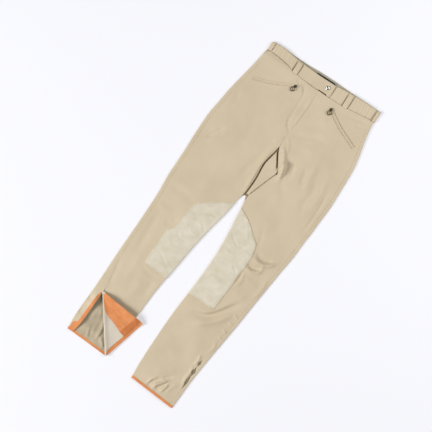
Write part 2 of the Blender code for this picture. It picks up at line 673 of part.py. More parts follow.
def back_waistband(twill):
    """The back of the waistband on the table, coming round both sides to the front."""
    ends = [side_of_waist(-1), side_of_waist(1)]
    points, normals, places = [], [], []
    for (outer, wrap), side in zip(ends, (-1, 1)):
        half = []
        for reach in (wrap, (wrap + BAND_RADIUS) / 2, BAND_RADIUS):
            half.append((outer - side * reach, WAIST_STACK - BAND / 2, (0, 0, 1)))
        for angle in HALF_TURN:
            lean = (side * math.sin(angle), 0, math.cos(angle))
            x = outer - side * BAND_RADIUS + BAND_MIDDLE * lean[0]
            half.append((x, BAND_RADIUS + BAND_MIDDLE * lean[2], lean))
        half.append((outer - side * BAND_RADIUS, BAND / 2, (0, 0, -1)))
        places.append(half if side < 0 else half[::-1])
    folded = 3 + len(HALF_TURN) + 1
    right, left = (panel_columns(back_row, leg)[folded:] for leg in (RIGHT_LEG, LEFT_LEG))
    floor = [(x, BAND / 2, (0, 0, -1)) for x in (*right[:-1], 0.0, *left[-2::-1])]
    whole = places[0] + floor + places[1]
    for share in BAND_SHARES:
        line = []
        for x, z, _ in whole:
            low, high = band_edges(x, "back_top")
            line.append((x, low + share * (high - low), z))
        points.append(line)
        normals.append([lean for _, _, lean in whole])
    wall_about("waistband_back", np.array(points), np.array(normals, float), BAND, twill)


def belt_loops(twill):
    """Two flat loops on the front and one round each side fold."""
    share = np.linspace(0, 1, 7)
    for side, middle in FRONT_LOOPS.items():
        low, high = band_edges(np.array(middle), "front_top")
        y = low - LOOP_BELOW + share * (high - low + LOOP_BELOW - LOOP_SHORT)
        x = middle + np.array([-0.5, 0.5]) * LOOP_WIDTH
        arch = WAIST_STACK + REST + LOOP_ARCH * np.sin(np.pi * share)
        xs, ys = np.meshgrid(x, y)
        under = np.repeat(arch[:, None], 2, axis=1)
        slab_on(f"belt_loop_front_{side}", xs, ys, under, CLOTH, twill)
    for side, sign in (("right", -1), ("left", 1)):
        side_loop(f"belt_loop_side_{side}", sign, twill)


def side_loop(name, sign, twill):
    outer, _ = side_of_waist(sign)
    centre = outer - sign * BAND_RADIUS
    radius = BAND_RADIUS + REST + CLOTH / 2
    line = [(centre - sign * run, BAND_RADIUS + radius, (0, 0, 1)) for run in SIDE_LOOP_RUNS]
    for angle in SIDE_LOOP_TURNS:
        lean = (sign * math.sin(angle), 0, math.cos(angle))
        line.append((centre + radius * lean[0], BAND_RADIUS + radius * lean[2], lean))
    low, high = band_edges(np.array(centre), "front_top")
    points, normals = [], []
    for share in np.linspace(0, 1, 4):
        y = low + share * (high - low - 0.5)
        points.append([(x, y, z) for x, z, _ in line])
        normals.append([lean for _, _, lean in line])
    wall_about(name, np.array(points, float), np.array(normals, float), CLOTH, twill)


def waist_label(woven):
    """A plain dark label on the inner face of the back waistband."""
    x, y = np.meshgrid(
        np.linspace(LABEL["x0"], LABEL["x1"], 3), np.linspace(LABEL["y0"], LABEL["y1"], 3)
    )
    slab_on("waist_label", x, y, np.full(x.shape, BAND + SEAM), TRIM, woven)


def waist_snap(nickel):
    """A turned snap cap: a low dome with a rolled rim."""
    profile = [(0.0, 2.3), (2.2, 2.2), (3.9, 1.7), (4.6, 1.25), (5.0, 1.35), (5.5, 1.4)]
    profile += [(SNAP_RADIUS - 0.1, 1.0), (SNAP_RADIUS, 0.5), (SNAP_RADIUS - 0.3, 0.0)]
    base = WAIST_STACK + TAB_RISE + SEAM
    turned("waist_snap", profile, (*SNAP_AT, base), nickel)


def turned(name, profile, at, made_of, steps=24):
    """A solid turned about an upright axis from (radius, height) pairs, the first on the axis."""
    points = [(at[0], at[1], at[2] + profile[0][1])]
    for step in range(steps):
        turn = 2 * math.pi * step / steps
        for radius, height in profile[1:]:
            place = (radius * math.cos(turn), radius * math.sin(turn), height)
            points.append(tuple(a + p for a, p in zip(at, place)))
    rings = len(profile) - 1
    faces = []
    for step in range(steps):
        this, following = 1 + step * rings, 1 + (step + 1) % steps * rings
        faces.append((0, this, following))
        for ring in range(rings - 1):
            faces.append((this + ring, this + ring + 1, following + ring + 1, following + ring))
    faces.append(tuple(1 + step * rings + rings - 1 for step in reversed(range(steps))))
    return add_object(name, points, faces, made_of, smooth_faces=True)


# ------------------------------------------------------------------------------------------------
# pocket welts, zip sliders and their pulls
# ------------------------------------------------------------------------------------------------
def pocket_welt(name, leg, path, twill):
    """A narrow welt over the zip, on the points of the front panel and moved out."""
    path = np.array(path, float)
    along = np.linspace(0, len(path) - 1, 9)
    places = np.arange(len(path))
    line = np.column_stack([smooth(places, path[:, 0], along), smooth(places, path[:, 1], along)])
    run = np.gradient(line, axis=0)
    run /= np.linalg.norm(run, axis=1)[:, None]
    across = np.column_stack([-run[:, 1], run[:, 0]])
    shares = np.linspace(-0.5, 0.5, 3) * WELT_WIDTH
    plan = line[:, None] + shares[None, :, None] * across[:, None]
    under = front_top(leg, plan[..., 0], plan[..., 1]) + REST
    slab_on(name, plan[..., 0], plan[..., 1], under, TRIM, twill)


def box_points(x0, x1, y0, y1, z0, z1):
    return np.array([(x, y, z) for x in (x0, x1) for y in (y0, y1) for z in (z0, z1)], float)


BOX_FACES = [(0, 1, 3, 2), (4, 6, 7, 5), (0, 4, 5, 1), (2, 3, 7, 6), (0, 2, 6, 4), (1, 5, 7, 3)]


def bevel(built, width, segments=2):
    made = built.modifiers.new("Bevel", "BEVEL")
    made.width = width * MM
    made.segments = segments
    made.limit_method = "ANGLE"


def zip_slider(side, leg, metal):
    """The slider's body with an arched bridge on top, standing still at the closed end of its zip."""
    x, y = SLIDER_AT[side]
    base = float(front_top(leg, x, y)) + REST + TRIM + SEAM
    wide, long, high = SLIDER["width"] / 2, SLIDER["length"] / 2, SLIDER["height"]
    body = add_object(
        f"zip_slider_{side}", box_points(-wide, wide, -long, long, 0, high), BOX_FACES, metal,
        origin=(x, y, base),
    )
    body.rotation_euler.z = math.radians(PULL_LEAN[side])
    bevel(body, 0.7)
    bridge = arch(f"bridge_{side}", metal)
    bridge.parent = body
    bridge.location = (0, BRIDGE_AT * MM, (high - BRIDGE_SINK) * MM)
    join = body.modifiers.new("Bridge", "BOOLEAN")
    join.operation = "UNION"
    join.object = bridge
    return body, base + high + PIN_HEIGHT


def arch(name, metal):
    """An upside-down U seen along X, of one thickness, used only to be joined to its slider."""
    half, high, bar = BRIDGE["length"] / 2, BRIDGE["height"], BRIDGE["bar"]
    wide = BRIDGE["width"] / 2
    profile = [(-half, 0), (-half, high * 0.7), (-half * 0.6, high), (half * 0.6, high)]
    profile += [(half, high * 0.7), (half, 0), (half - bar, 0), (half - bar, high * 0.62)]
    profile += [(half * 0.45, high - bar), (-half * 0.45, high - bar)]
    profile += [(-half + bar, high * 0.62), (-half + bar, 0)]
    points = [(x, y, z) for x in (-wide, wide) for y, z in profile]
    count = len(profile)
    faces = [tuple(range(count)), tuple(reversed(range(count, 2 * count)))]
    for i in range(count):
        following = (i + 1) % count
        faces.append((i, i + count, following + count, following))
    helper = add_object(name, points, faces, metal)
    helper.hide_render = True
    helper.display_type = "WIRE"
    return helper


def pull_outline(angles, inner):
    """A shield: straight across its bar, wide in the middle and drawn in to the tip."""
    length, rim, bar = PULL["length"], PULL["rim"], PULL["bar"]
    towards_tip = -np.cos(angles)
    trim = np.where(towards_tip < 0, bar, rim) if inner else 0.0
    reach = length / 2 - trim
    wide = PULL["half_width"] - (rim if inner else 0.0)
    taper = 1 - 0.42 * step_up(-towards_tip, -0.2, 1.0) - 0.18 * step_up(towards_tip, 0.2, 1.0)
    x = np.sign(np.sin(angles)) * np.abs(np.sin(angles)) ** 0.75 * wide * taper
    y = np.where(towards_tip < -0.93, reach, -towards_tip * reach)
    return np.column_stack([x, y - length / 2 + bar / 2])


def zip_pull(side, height, metal, steps=28):
    """A ring pull hung on its slider's bridge; its origin is on the hinge line of its top bar."""
    angles = np.linspace(0, 2 * math.pi, steps, endpoint=False)
    outer, inner = pull_outline(angles, False), pull_outline(angles, True)
    half = PULL["bar"] / 2
    rings = [(outer, half), (outer, -half), (inner, -half), (inner, half)]
    points = [(x, y, z) for ring, z in rings for x, y in ring]
    faces = []
    for layer in range(4):
        for i in range(steps):
            a, b = layer * steps + i, layer * steps + (i + 1) % steps
            c, d = (b + steps) % (4 * steps), (a + steps) % (4 * steps)
            faces.append((a, b, c, d))
    lean = math.radians(PULL_LEAN[side])
    x, y = SLIDER_AT[side]
    pivot = (x - BRIDGE_AT * math.sin(lean), y + BRIDGE_AT * math.cos(lean), height)
    built = add_object(
        f"zip_pull_{side}", points, faces, metal, smooth_faces=True, origin=pivot
    )
    built.rotation_euler = (math.radians(PULL_DIP), 0, lean)
    return built


# ------------------------------------------------------------------------------------------------
# assembly
# ------------------------------------------------------------------------------------------------
def clear_scene():
    for old in list(bpy.data.objects):
        bpy.data.objects.remove(old, do_unlink=True)


def bounds():
    """Lowest and highest corner of everything that renders, in metres."""
    bpy.context.view_layer.update()
    graph = bpy.context.evaluated_depsgraph_get()
    corners = []
    for built in bpy.data.objects:
        if built.type != "MESH" or built.hide_render:
            continue
        evaluated = built.evaluated_get(graph)
        mesh = evaluated.to_mesh()
        place = np.array(evaluated.matrix_world)
        points = np.empty(len(mesh.vertices) * 3)
        mesh.vertices.foreach_get("co", points)
        points = points.reshape(-1, 3) @ place[:3, :3].T + place[:3, 3]
        corners += [points.min(axis=0), points.max(axis=0)]
        evaluated.to_mesh_clear()
    return np.min(corners, axis=0), np.max(corners, axis=0)


def rest_at_origin():
    """Hangs every object on one empty and moves the middle of the underside to the origin."""
    low, high = bounds()
    root = bpy.data.objects.new("breeches", None)
    bpy.context.collection.objects.link(root)
    for built in bpy.data.objects:
        if built.parent is None and built is not root:
            built.parent = root
    root.location = (-(low[0] + high[0]) / 2, -(low[1] + high[1]) / 2, -low[2])
    bpy.context.view_layer.update()


def build():
    clear_scene()
    twill = material("beige_twill", "D0C0A7", 0.85)
    suede = material("pale_suede", "D6CFBC", 0.9)
    orange = material("orange_knit", "E3965A", 0.8)
    woven = material("black_woven_label", "24211E", 0.7)
    nickel = material("bright_nickel", "D9D6CE", 0.22, 1.0)
    antique = material("antique_brass", "6A5B42", 0.38, 1.0)

    back_panels(twill)
    left_front_panel(twill)
    right_front_panel(twill)
    crotch_gusset(twill)
    knee_patch("knee_patch_right", RIGHT_LEG, RIGHT_PATCH, suede)
    knee_patch("knee_patch_left", LEFT_LEG, LEFT_PATCH, suede)
    hem_bands(orange)
    vent_trims(orange)

    back_waistband(twill)
    front_waistbands(twill)
    belt_loops(twill)
    waist_label(woven)
    waist_snap(nickel)

    pocket_welt("pocket_welt_right", RIGHT_LEG, RIGHT_WELT, twill)
    pocket_welt("pocket_welt_left", LEFT_LEG, LEFT_WELT, twill)
    for side, leg in (("right", RIGHT_LEG), ("left", LEFT_LEG)):
        _, pin_height = zip_slider(side, leg, antique)
        zip_pull(side, pin_height, antique)
    rest_at_origin()


build()
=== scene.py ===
# %% [markdown]
# # Riding breeches, laid out flat
# The solids of the breeches are already there: panels, bands, patches, loops and zips, each a stiff
# wall of its real thickness. Here every cloth piece gets its real surface: thin cloth with seams,
# stitches and the creases that wearing and laying out have left. The solids say where each piece
# is, so this script measures them and never moves them.

# %% Load the frame
import math

import bpy
import numpy as np
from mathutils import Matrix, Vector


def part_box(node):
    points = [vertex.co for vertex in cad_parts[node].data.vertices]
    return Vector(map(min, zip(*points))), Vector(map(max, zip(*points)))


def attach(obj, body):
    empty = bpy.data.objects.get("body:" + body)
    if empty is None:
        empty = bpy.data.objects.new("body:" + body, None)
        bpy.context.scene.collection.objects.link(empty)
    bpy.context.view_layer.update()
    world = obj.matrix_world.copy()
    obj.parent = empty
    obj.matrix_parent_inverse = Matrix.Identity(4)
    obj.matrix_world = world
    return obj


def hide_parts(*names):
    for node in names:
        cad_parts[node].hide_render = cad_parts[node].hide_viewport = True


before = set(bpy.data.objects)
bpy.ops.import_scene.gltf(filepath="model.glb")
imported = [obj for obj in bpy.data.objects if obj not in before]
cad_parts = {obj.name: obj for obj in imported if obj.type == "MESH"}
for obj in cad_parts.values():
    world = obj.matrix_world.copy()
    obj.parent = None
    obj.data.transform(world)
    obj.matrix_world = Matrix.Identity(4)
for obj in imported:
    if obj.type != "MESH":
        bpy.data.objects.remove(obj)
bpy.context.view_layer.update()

# %% [markdown]
# ## Garment millimetres
# A pattern cutter measures from the middle of the front waist: across to the sides and down to the
# hems. All sizes below use that, in millimetres: x to the wearer's left, y up to the waist, z out
# of the cloth. The snap sits 25 mm to the side and 17 mm below that point, which fixes the place.

# %% Garment millimetres
MM = 0.001
SNAP_AT = (25.0, -17.0)
low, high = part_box("waist_snap")
ZERO = np.array([(low.x + high.x) / 2, (low.y + high.y) / 2, 0.0]) - np.array([*SNAP_AT, 0]) * MM


def triangles_of(node):
    """All triangles of a CAD node, in garment millimetres, as an array (triangle, corner, xyz)."""
    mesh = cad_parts[node].data
    mesh.calc_loop_triangles()
    points = np.empty(len(mesh.vertices) * 3)
    mesh.vertices.foreach_get("co", points)
    corners = np.empty(len(mesh.loop_triangles) * 3, int)
    mesh.loop_triangles.foreach_get("vertices", corners)
    return ((points.reshape(-1, 3) - ZERO) / MM)[corners.reshape(-1, 3)]


print("middle of the front waist, in metres:", np.round(ZERO, 4))

# %% [markdown]
# ## Measuring the solids
# Cutting a node's triangles with many parallel planes gives its edges as smooth lines: side seams,
# inseams, the rise, and the height of the cloth. The solids are faceted, so each line is averaged
# over a few millimetres, which rounds the facets away without moving the line.

# %% Cuts and lines
STEP = 2.5                 # mm between two cuts
TAIL = 12                  # cuts whose slope carries a line on past a hem
BEYOND = 60.0              # how far it is carried on, in mm


def cuts(node, axis):
    """Places along one axis, 2.5 mm apart, and for each the lowest and highest x, y and z of the
    plane cut there: every edge of the mesh that crosses a plane gives one point of its cut."""
    corners = triangles_of(node)
    a, b = corners.reshape(-1, 3), corners[:, [1, 2, 0]].reshape(-1, 3)
    first, last = a[:, axis].min() + 0.2, a[:, axis].max() - 0.2
    places = np.linspace(first, last, max(3, int((last - first) / STEP)))
    rise = b[:, axis] - a[:, axis]
    share = (places[:, None] - a[:, axis]) / np.where(rise == 0, np.inf, rise)
    hit = (share >= 0) & (share <= 1) & (rise != 0)
    point = a + np.where(hit, share, 0.0)[..., None] * (b - a)
    lowest = np.where(hit[..., None], point, np.inf).min(axis=1)
    highest = np.where(hit[..., None], point, -np.inf).max(axis=1)
    return places, lowest, highest


def softened(values, reach):
    """A Gaussian average over `reach` millimetres; both ends are continued by a point reflection,
    so a straight line stays as it is up to its end."""
    count = min(int(2.5 * reach / STEP), len(values) - 1)
    if count < 1:
        return values
    weights = np.exp(-((np.arange(-count, count + 1) * STEP / reach) ** 2))
    longer = np.pad(values, count, mode="reflect", reflect_type="odd")
    return np.convolve(longer, weights / weights.sum(), mode="valid")


def line(node, axis, which, end, reach=9.0, span=(None, 1e9)):
    """An edge of a node as a function of the place along `axis` (0 for x, 1 for y). `which` is the
    coordinate it gives (0, 1 or 2), and `end` is 0 for its lowest and 1 for its highest value.
    Outside `span`, where a slanting hem or waist cuts the planes short, the line goes on straight
    below and level above."""
    places, lowest, highest = cuts(node, axis)
    kept = (places > (span[0] or places[0] - 1)) & (places < span[1])
    places, values = places[kept], softened((lowest, highest)[end][kept, which], reach)
    if span[0]:
        slope = (values[TAIL] - values[0]) / (places[TAIL] - places[0])
        places = np.concatenate([[places[0] - BEYOND], places])
        values = np.concatenate([[values[0] - BEYOND * slope], values])
    return lambda at: np.interp(at, places, values)


outer = line("back_panel_right", 1, 0, 0)
print("outer side of the right back at y = -500:", round(float(outer(-500.0)), 1), "mm")

# %% [markdown]
# Everything that starts or ends somewhere does it softly. A smooth step turns a place into a share
# from 0 to 1, and a short table read with its corners eased gives a curve that a hand would draw.

# %% Soft steps and short tables
def soft_step(value, start, end):
    """0 before start and 1 after end, with soft ends: 3 u^2 - 2 u^3."""
    u = np.clip((np.asarray(value, float) - start) / (end - start), 0.0, 1.0)
    return u * u * (3 - 2 * u)


def through(table, at):
    """Values read from a short table of (place, value) rows, with the corners eased away."""
    rows = np.array(table, float)
    rows = rows[np.argsort(rows[:, 0])]
    fine = np.arange(rows[0, 0], rows[-1, 0] + STEP, STEP)
    return np.interp(at, fine, softened(np.interp(fine, rows[:, 0], rows[:, 1]), 8.0))


print("a soft step at a tenth of its way:", round(float(soft_step(0.1, 0, 1)), 3))

# %% [markdown]
# A leg has four lines that matter: the outer side, the side seam on the front, the inseam, and the
# rise from crotch to waist. How thick the folded side lies on the table comes with them.

# %% The lines of each leg
class Leg:
    """Everything measured on one leg; sign is -1 for the right leg and 1 for the left one."""

    def __init__(self, side, sign):
        self.side, self.sign = side, sign
        back, front = f"back_panel_{side}", f"front_panel_{side}"
        far, near = (0, 1) if sign < 0 else (1, 0)
        outer_end, inner_end = (-978, -984) if sign < 0 else (-1004, -994)
        self.outer = line(back, 1, 0, far, span=(outer_end, 0))
        self.seat = line(back, 1, 0, near, 5.0, span=(inner_end, -46))
        self.rise = line(front, 1, 0, near, 5.0, span=(None, -46))
        self.seam = line(front, 1, 0, far, span=(outer_end if sign > 0 else None, 0))
        self.edge = line(back, 1, 2, 1, 14.0, span=(outer_end, 0))

    def inner(self, y):
        """Inner edge of the front: along fly and gusset its own, further down the inseam."""
        return np.where(np.asarray(y) > -409, self.rise(y), self.seat(y))


LEGS = {"right": Leg("right", -1), "left": Leg("left", 1)}
for leg in LEGS.values():
    print(leg.side, "width at hip, knee and calf:", *(
        round(float(abs(leg.outer(y) - leg.inner(y))), 1) for y in (-200.0, -560.0, -800.0)))

# %% [markdown]
# ## Creases one by one
# Cloth that lies still shows where it was bent: soft ridges where it stands up, soft troughs where
# it sinks between them. Each crease below is a short path with a half width and a height. Its
# cross-section is a bell curve, and it fades to nothing at both ends, which is what keeps a row of
# creases from looking like corrugated card. Their lengths, heights and spacing all differ.

# %% Creases of the left leg
# (path of x, y points; half width; height, negative for a trough), in garment millimetres
LEFT_CREASES = [
    # the ridge and the deep pocket beside the gusset
    ([(8, -220), (26, -247), (38, -271), (46, -302)], 6.5, 3.8),
    ([(46, -252), (58, -268), (66, -286), (60, -314)], 8.5, -4.5),
    ([(31, -257), (44, -279), (50, -311)], 6.5, 7.6),
    ([(50, -250), (61, -272), (61, -306)], 8.5, -5.5),
    ([(56, -306), (66, -322), (84, -342)], 12.0, -1.0),
    ([(6, -192), (20, -213), (33, -238)], 3.0, 1.0),
    # pulled from the fly to the hip
    ([(4, -190), (40, -171), (76, -156), (116, -150)], 8.0, -1.1),
    ([(18, -172), (60, -146), (104, -128)], 12.0, 1.0),
    ([(14, -205), (60, -192), (104, -196)], 11.0, 0.7),
    ([(108, -57), (146, -46), (180, -39)], 5.0, -1.0),
    ([(146, -66), (168, -59), (187, -51)], 4.0, -0.9),
    ([(30, -74), (62, -92), (76, -120)], 10.0, 0.6),
    # long folds down the thigh
    ([(99, -238), (104, -266), (113, -296)], 7.0, -1.3),
    ([(118, -206), (121, -250), (131, -306)], 9.0, 1.4),
    ([(141, -246), (150, -290), (146, -332), (156, -366)], 8.0, -1.2),
    ([(163, -228), (172, -282), (170, -346)], 9.0, 1.5),
    ([(188, -262), (191, -330), (189, -404)], 3.6, -1.2),
    ([(70, -330), (76, -372), (72, -420)], 14.0, 0.8),
    # the crumpled outer knee
    ([(104, -534), (130, -541), (149, -537), (166, -525), (178, -508)], 6.5, 3.6),
    ([(110, -520), (138, -525), (166, -516)], 6.0, -3.8),
    ([(102, -570), (124, -573), (144, -565), (153, -547)], 6.0, 3.0),
    ([(104, -558), (124, -561), (146, -553)], 5.0, -3.2),
    ([(142, -536), (148, -546), (148, -558)], 4.0, 1.6),
    ([(84, -440), (98, -478), (108, -512)], 6.0, -0.8),
    ([(103, -584), (108, -606), (102, -626)], 5.0, -2.4),
    ([(112, -586), (116, -612), (110, -634)], 5.0, 1.6),
    ([(176, -560), (180, -600), (172, -640)], 7.0, 1.4),
    ([(120, -590), (140, -600), (166, -596)], 9.0, 0.9),
    ([(110, -640), (134, -648), (160, -640)], 10.0, 0.8),
    # the long diagonal below the knee
    ([(30, -776), (60, -757), (86, -746), (106, -729), (126, -701), (160, -648)], 8.5, -3.2),
    ([(58, -790), (92, -768), (124, -738), (156, -690)], 10.0, 3.4),
    ([(44, -752), (76, -742), (100, -722), (122, -690), (146, -660)], 7.0, 2.6),
    ([(46, -742), (78, -732), (98, -712)], 9.0, 1.0),
    ([(20, -846), (56, -872), (86, -910)], 18.0, 0.8),
    ([(96, -800), (112, -846), (116, -890)], 16.0, 0.7),
    # crumpled above the hem
    ([(56, -1004), (64, -982), (79, -966)], 4.6, -6.5),
    ([(70, -1003), (75, -985), (88, -973), (99, -956)], 3.8, 4.6),
    ([(50, -1000), (56, -982), (70, -966)], 3.6, 3.0),
    ([(82, -1003), (89, -984), (98, -966)], 3.8, -4.4),
    ([(82, -962), (103, -944)], 3.8, -3.2),
    ([(94, -1000), (101, -980), (104, -966)], 3.6, 3.4),
    ([(48, -964), (78, -938), (104, -914)], 9.0, 1.1),
    ([(108, -994), (116, -972), (126, -950)], 6.0, 1.1),
    # the closed vent at the side
    ([(152, -700), (168, -706)], 3.0, 1.4),
    ([(150, -726), (166, -730)], 2.8, 1.2),
    ([(148, -752), (164, -758)], 3.0, 1.5),
    ([(148, -776), (161, -780)], 2.8, 1.2),
    ([(150, -792), (156, -812), (148, -836)], 4.0, 1.3),
    ([(134, -846), (138, -866), (133, -882)], 4.0, 2.2),
    ([(132, -886), (138, -900), (135, -922), (138, -950)], 4.5, 2.6),
]
print("creases on the left front:", len(LEFT_CREASES))

# %% [markdown]
# The right leg lies flatter, so its creases are longer, lower and fewer. The sharpest run beside
# the fly, where stiff layers end, and along the gusset, where the stitched edge stands up.

# %% Creases of the right leg
RIGHT_CREASES = [
    # the stitched edge beside the gusset and the hollow behind it
    ([(-7, -232), (-14, -266), (-18, -306), (-16, -350), (-15, -400)], 5.0, 3.6),
    ([(-24, -236), (-29, -280), (-41, -330), (-50, -376)], 11.0, -1.5),
    ([(-60, -250), (-72, -310), (-84, -380)], 18.0, 0.8),
    # beside the fly and under the band
    ([(-58, -41), (-42, -62)], 3.0, -1.5),
    ([(-50, -41), (-31, -56), (-23, -70)], 3.4, -1.7),
    ([(-46, -90), (-40, -130), (-46, -170)], 11.0, 0.7),
    ([(-14, -70), (-12, -110), (-13, -150)], 7.0, 0.7),
    ([(3, -58), (5, -92), (4, -124), (2, -154), (-3, -174)], 4.2, 0.9),
    ([(-19, -142), (-17, -160), (-10, -172)], 4.0, -1.1),
    ([(-24, -232), (-10, -214), (-2, -196)], 6.0, 1.2),
    # hip and thigh
    ([(-158, -264), (-171, -295), (-193, -327)], 7.0, -1.9),
    ([(-142, -270), (-158, -302), (-178, -334)], 10.0, 0.9),
    ([(-150, -140), (-132, -190), (-128, -240)], 18.0, 0.8),
    ([(-186, -150), (-176, -186), (-181, -226)], 8.0, -0.7),
    ([(-102, -196), (-96, -250), (-108, -310)], 16.0, -0.7),
    ([(-120, -350), (-112, -400), (-124, -456)], 16.0, 0.8),
    ([(-112, -496), (-156, -490), (-200, -492)], 11.0, -0.8),
    ([(-132, -474), (-170, -468), (-204, -474)], 12.0, 0.5),
    # outer knee and calf
    ([(-128, -560), (-136, -580), (-160, -590)], 7.0, -1.2),
    ([(-150, -548), (-176, -556), (-204, -548)], 10.0, 0.9),
    ([(-188, -560), (-182, -624), (-180, -664), (-176, -716)], 11.0, -1.3),
    ([(-166, -690), (-160, -742), (-163, -800)], 13.0, 1.0),
    ([(-148, -724), (-112, -736), (-78, -730)], 8.0, -0.7),
    ([(-95, -742), (-93, -770), (-97, -800)], 9.0, -0.9),
    ([(-128, -752), (-120, -790), (-130, -826)], 13.0, 1.0),
    ([(-206, -738), (-196, -790), (-188, -836)], 7.0, -0.9),
]
print("creases on the right front:", len(RIGHT_CREASES))

# %% [markdown]
# Suede is stiffer than twill: it breaks into short, shallow wrinkles instead of long folds. Inside
# the cuff and on the hidden back, cloth that rests on the table can only stand up off it.

# %% Creases of patches and backs
PATCH_CREASES = [
    ([(-104, -500), (-78, -478), (-52, -462)], 3.0, -1.0),
    ([(-92, -520), (-66, -502), (-36, -494), (-24, -496)], 3.4, -1.4),
    ([(-84, -484), (-60, -482), (-40, -470)], 3.0, 1.0),
    ([(-112, -548), (-84, -536), (-54, -540)], 4.0, 0.9),
    ([(-66, -528), (-52, -545), (-40, -556)], 3.0, -1.1),
    ([(-114, -588), (-96, -602), (-70, -598)], 4.0, -0.9),
    ([(-126, -622), (-100, -634), (-72, -630)], 5.0, 0.8),
    ([(-90, -560), (-72, -572), (-56, -570)], 3.0, 0.9),
    ([(-134, -664), (-110, -672), (-84, -690)], 4.0, -0.8),
    ([(-120, -700), (-98, -692), (-76, -704)], 4.0, 0.8),
    ([(40, -436), (64, -466), (92, -506)], 3.4, -1.0),
    ([(30, -446), (50, -476), (76, -512)], 4.0, 0.9),
    ([(16, -506), (36, -522), (58, -536)], 3.0, -1.2),
    ([(58, -534), (70, -526), (82, -508)], 3.0, -1.1),
    ([(62, -548), (80, -534), (98, -538)], 3.4, 1.1),
    ([(20, -556), (46, -562), (66, -556)], 4.0, 0.8),
    ([(24, -596), (42, -590), (60, -600)], 4.0, -0.7),
    ([(70, -580), (84, -592), (98, -604)], 3.4, -1.1),
    ([(22, -650), (48, -642), (82, -654)], 5.0, 0.7),
    ([(30, -700), (56, -690), (84, -700)], 4.0, -0.7),
]
INSIDE_CREASES = [
    ([(-149, -908), (-146, -922), (-141, -940), (-139, -958), (-142, -976)], 3.4, 5.5),
    ([(-160, -926), (-160, -946), (-155, -968)], 4.5, 2.6),
    ([(-173, -948), (-169, -966), (-162, -984)], 3.2, 3.8),
    ([(-130, -958), (-122, -971), (-106, -981)], 3.4, 4.2),
    ([(-186, -880), (-180, -910), (-184, -940)], 6.0, 1.6),
    ([(-176, -884), (-168, -904), (-164, -926)], 4.0, 1.2),
    ([(-118, -970), (-110, -986)], 3.0, 1.8),
]
BACK_CREASES = [
    ([(-40, -262), (-84, -284), (-130, -282), (-166, -262)], 7.0, 1.5),
    ([(-34, -296), (-80, -316), (-126, -318)], 8.0, 1.2),
    ([(42, -258), (88, -280), (136, -274)], 7.0, 1.5),
    ([(36, -290), (76, -312), (126, -316), (164, -298)], 8.0, 1.3),
    ([(-66, -534), (-112, -546), (-170, -538)], 7.0, 1.6),
    ([(-90, -566), (-134, -574), (-186, -562)], 6.0, 1.3),
    ([(40, -536), (84, -548), (132, -538)], 7.0, 1.6),
    ([(66, -570), (104, -580), (156, -566)], 6.0, 1.2),
    ([(-150, -120), (-128, -176), (-136, -226)], 12.0, 1.0),
    ([(130, -110), (112, -170), (122, -216)], 12.0, 1.0),
    ([(46, -760), (84, -742), (128, -712)], 8.0, 1.4),
    ([(-168, -742), (-128, -772), (-96, -770)], 8.0, 1.2),
    ([(60, -930), (84, -902), (112, -880)], 7.0, 1.2),
]
print("wrinkles in suede, in the cuff, on the backs:",
      [len(table) for table in (PATCH_CREASES, INSIDE_CREASES, BACK_CREASES)])

# %% [markdown]
# To turn a table into a height, each point asks how far it is from a crease's path and how far
# along the path that is. The first gives the bell curve, the second the fade towards the ends.

# %% Reading a table of creases
def from_path(path, x, y):
    """Distance of every point from a path of straight pieces, and the share of the path's length
    at which the nearest point lies, for whole arrays of points."""
    path = np.array(path, float)
    lengths = np.linalg.norm(np.diff(path, axis=0), axis=1)
    along = np.concatenate([[0], np.cumsum(lengths)]) / lengths.sum()
    nearest, share = np.full(x.shape, np.inf), np.zeros(x.shape)
    for i, (a, b) in enumerate(zip(path[:-1], path[1:])):
        d = b - a
        t = np.clip(((x - a[0]) * d[0] + (y - a[1]) * d[1]) / (d @ d), 0, 1)
        away = np.hypot(x - a[0] - t * d[0], y - a[1] - t * d[1])
        closer = away < nearest
        nearest = np.where(closer, away, nearest)
        share = np.where(closer, along[i] + t * (along[i + 1] - along[i]), share)
    return nearest, share


def eased_path(points, step=4.0):
    """The same path with its corners rounded: a Catmull-Rom curve through its points."""
    p = np.array(points, float)
    if len(p) < 3:
        return p
    p = np.vstack([2 * p[0] - p[1], p, 2 * p[-1] - p[-2]])
    pieces = []
    for a, b, c, d in zip(p[:-3], p[1:-2], p[2:-1], p[3:]):
        t = np.linspace(0, 1, max(2, int(np.linalg.norm(c - b) / step)), endpoint=False)[:, None]
        bend = (2 * a - 5 * b + 4 * c - d) * t**2 + (3 * b - a - 3 * c + d) * t**3
        pieces.append(b + 0.5 * ((c - a) * t + bend))
    return np.vstack([*pieces, p[-2]])


def creases(table, x, y):
    """Height that a table of creases adds at each point: height * exp(-(distance / width)^2), times
    a fade that is full in the middle of the path and 0 at its ends."""
    x, y = np.asarray(x, float), np.asarray(y, float)
    total = np.zeros(x.shape)
    for path, width, height in table:
        path = np.array(path, float)
        near = (x > path[:, 0].min() - 3 * width) & (x < path[:, 0].max() + 3 * width)
        near &= (y > path[:, 1].min() - 3 * width) & (y < path[:, 1].max() + 3 * width)
        if not near.any():
            continue
        away, share = from_path(eased_path(path, 8.0), x[near], y[near])
        fade = soft_step(share, 0.0, 0.3) * (1 - soft_step(share, 0.7, 1.0))
        total[near] += height * np.exp(-((away / width) ** 2)) * (0.12 + 0.88 * fade)
    return total


print("creases placed by hand:", sum(map(len, (
    LEFT_CREASES, RIGHT_CREASES, PATCH_CREASES, INSIDE_CREASES, BACK_CREASES))))

# %% [markdown]
# ## How high the cloth lies
# The front lies on the back, so its height is two thicknesses and some air at the folded sides, and
# a little more in the middle, where the leg stays puffed. To that come the creases, and narrow
# grooves where a seam's thread pulls the cloth in. Every piece that lies on the front, such as a
# patch, a welt or a stitch, asks the same function for its height, so that nothing floats.

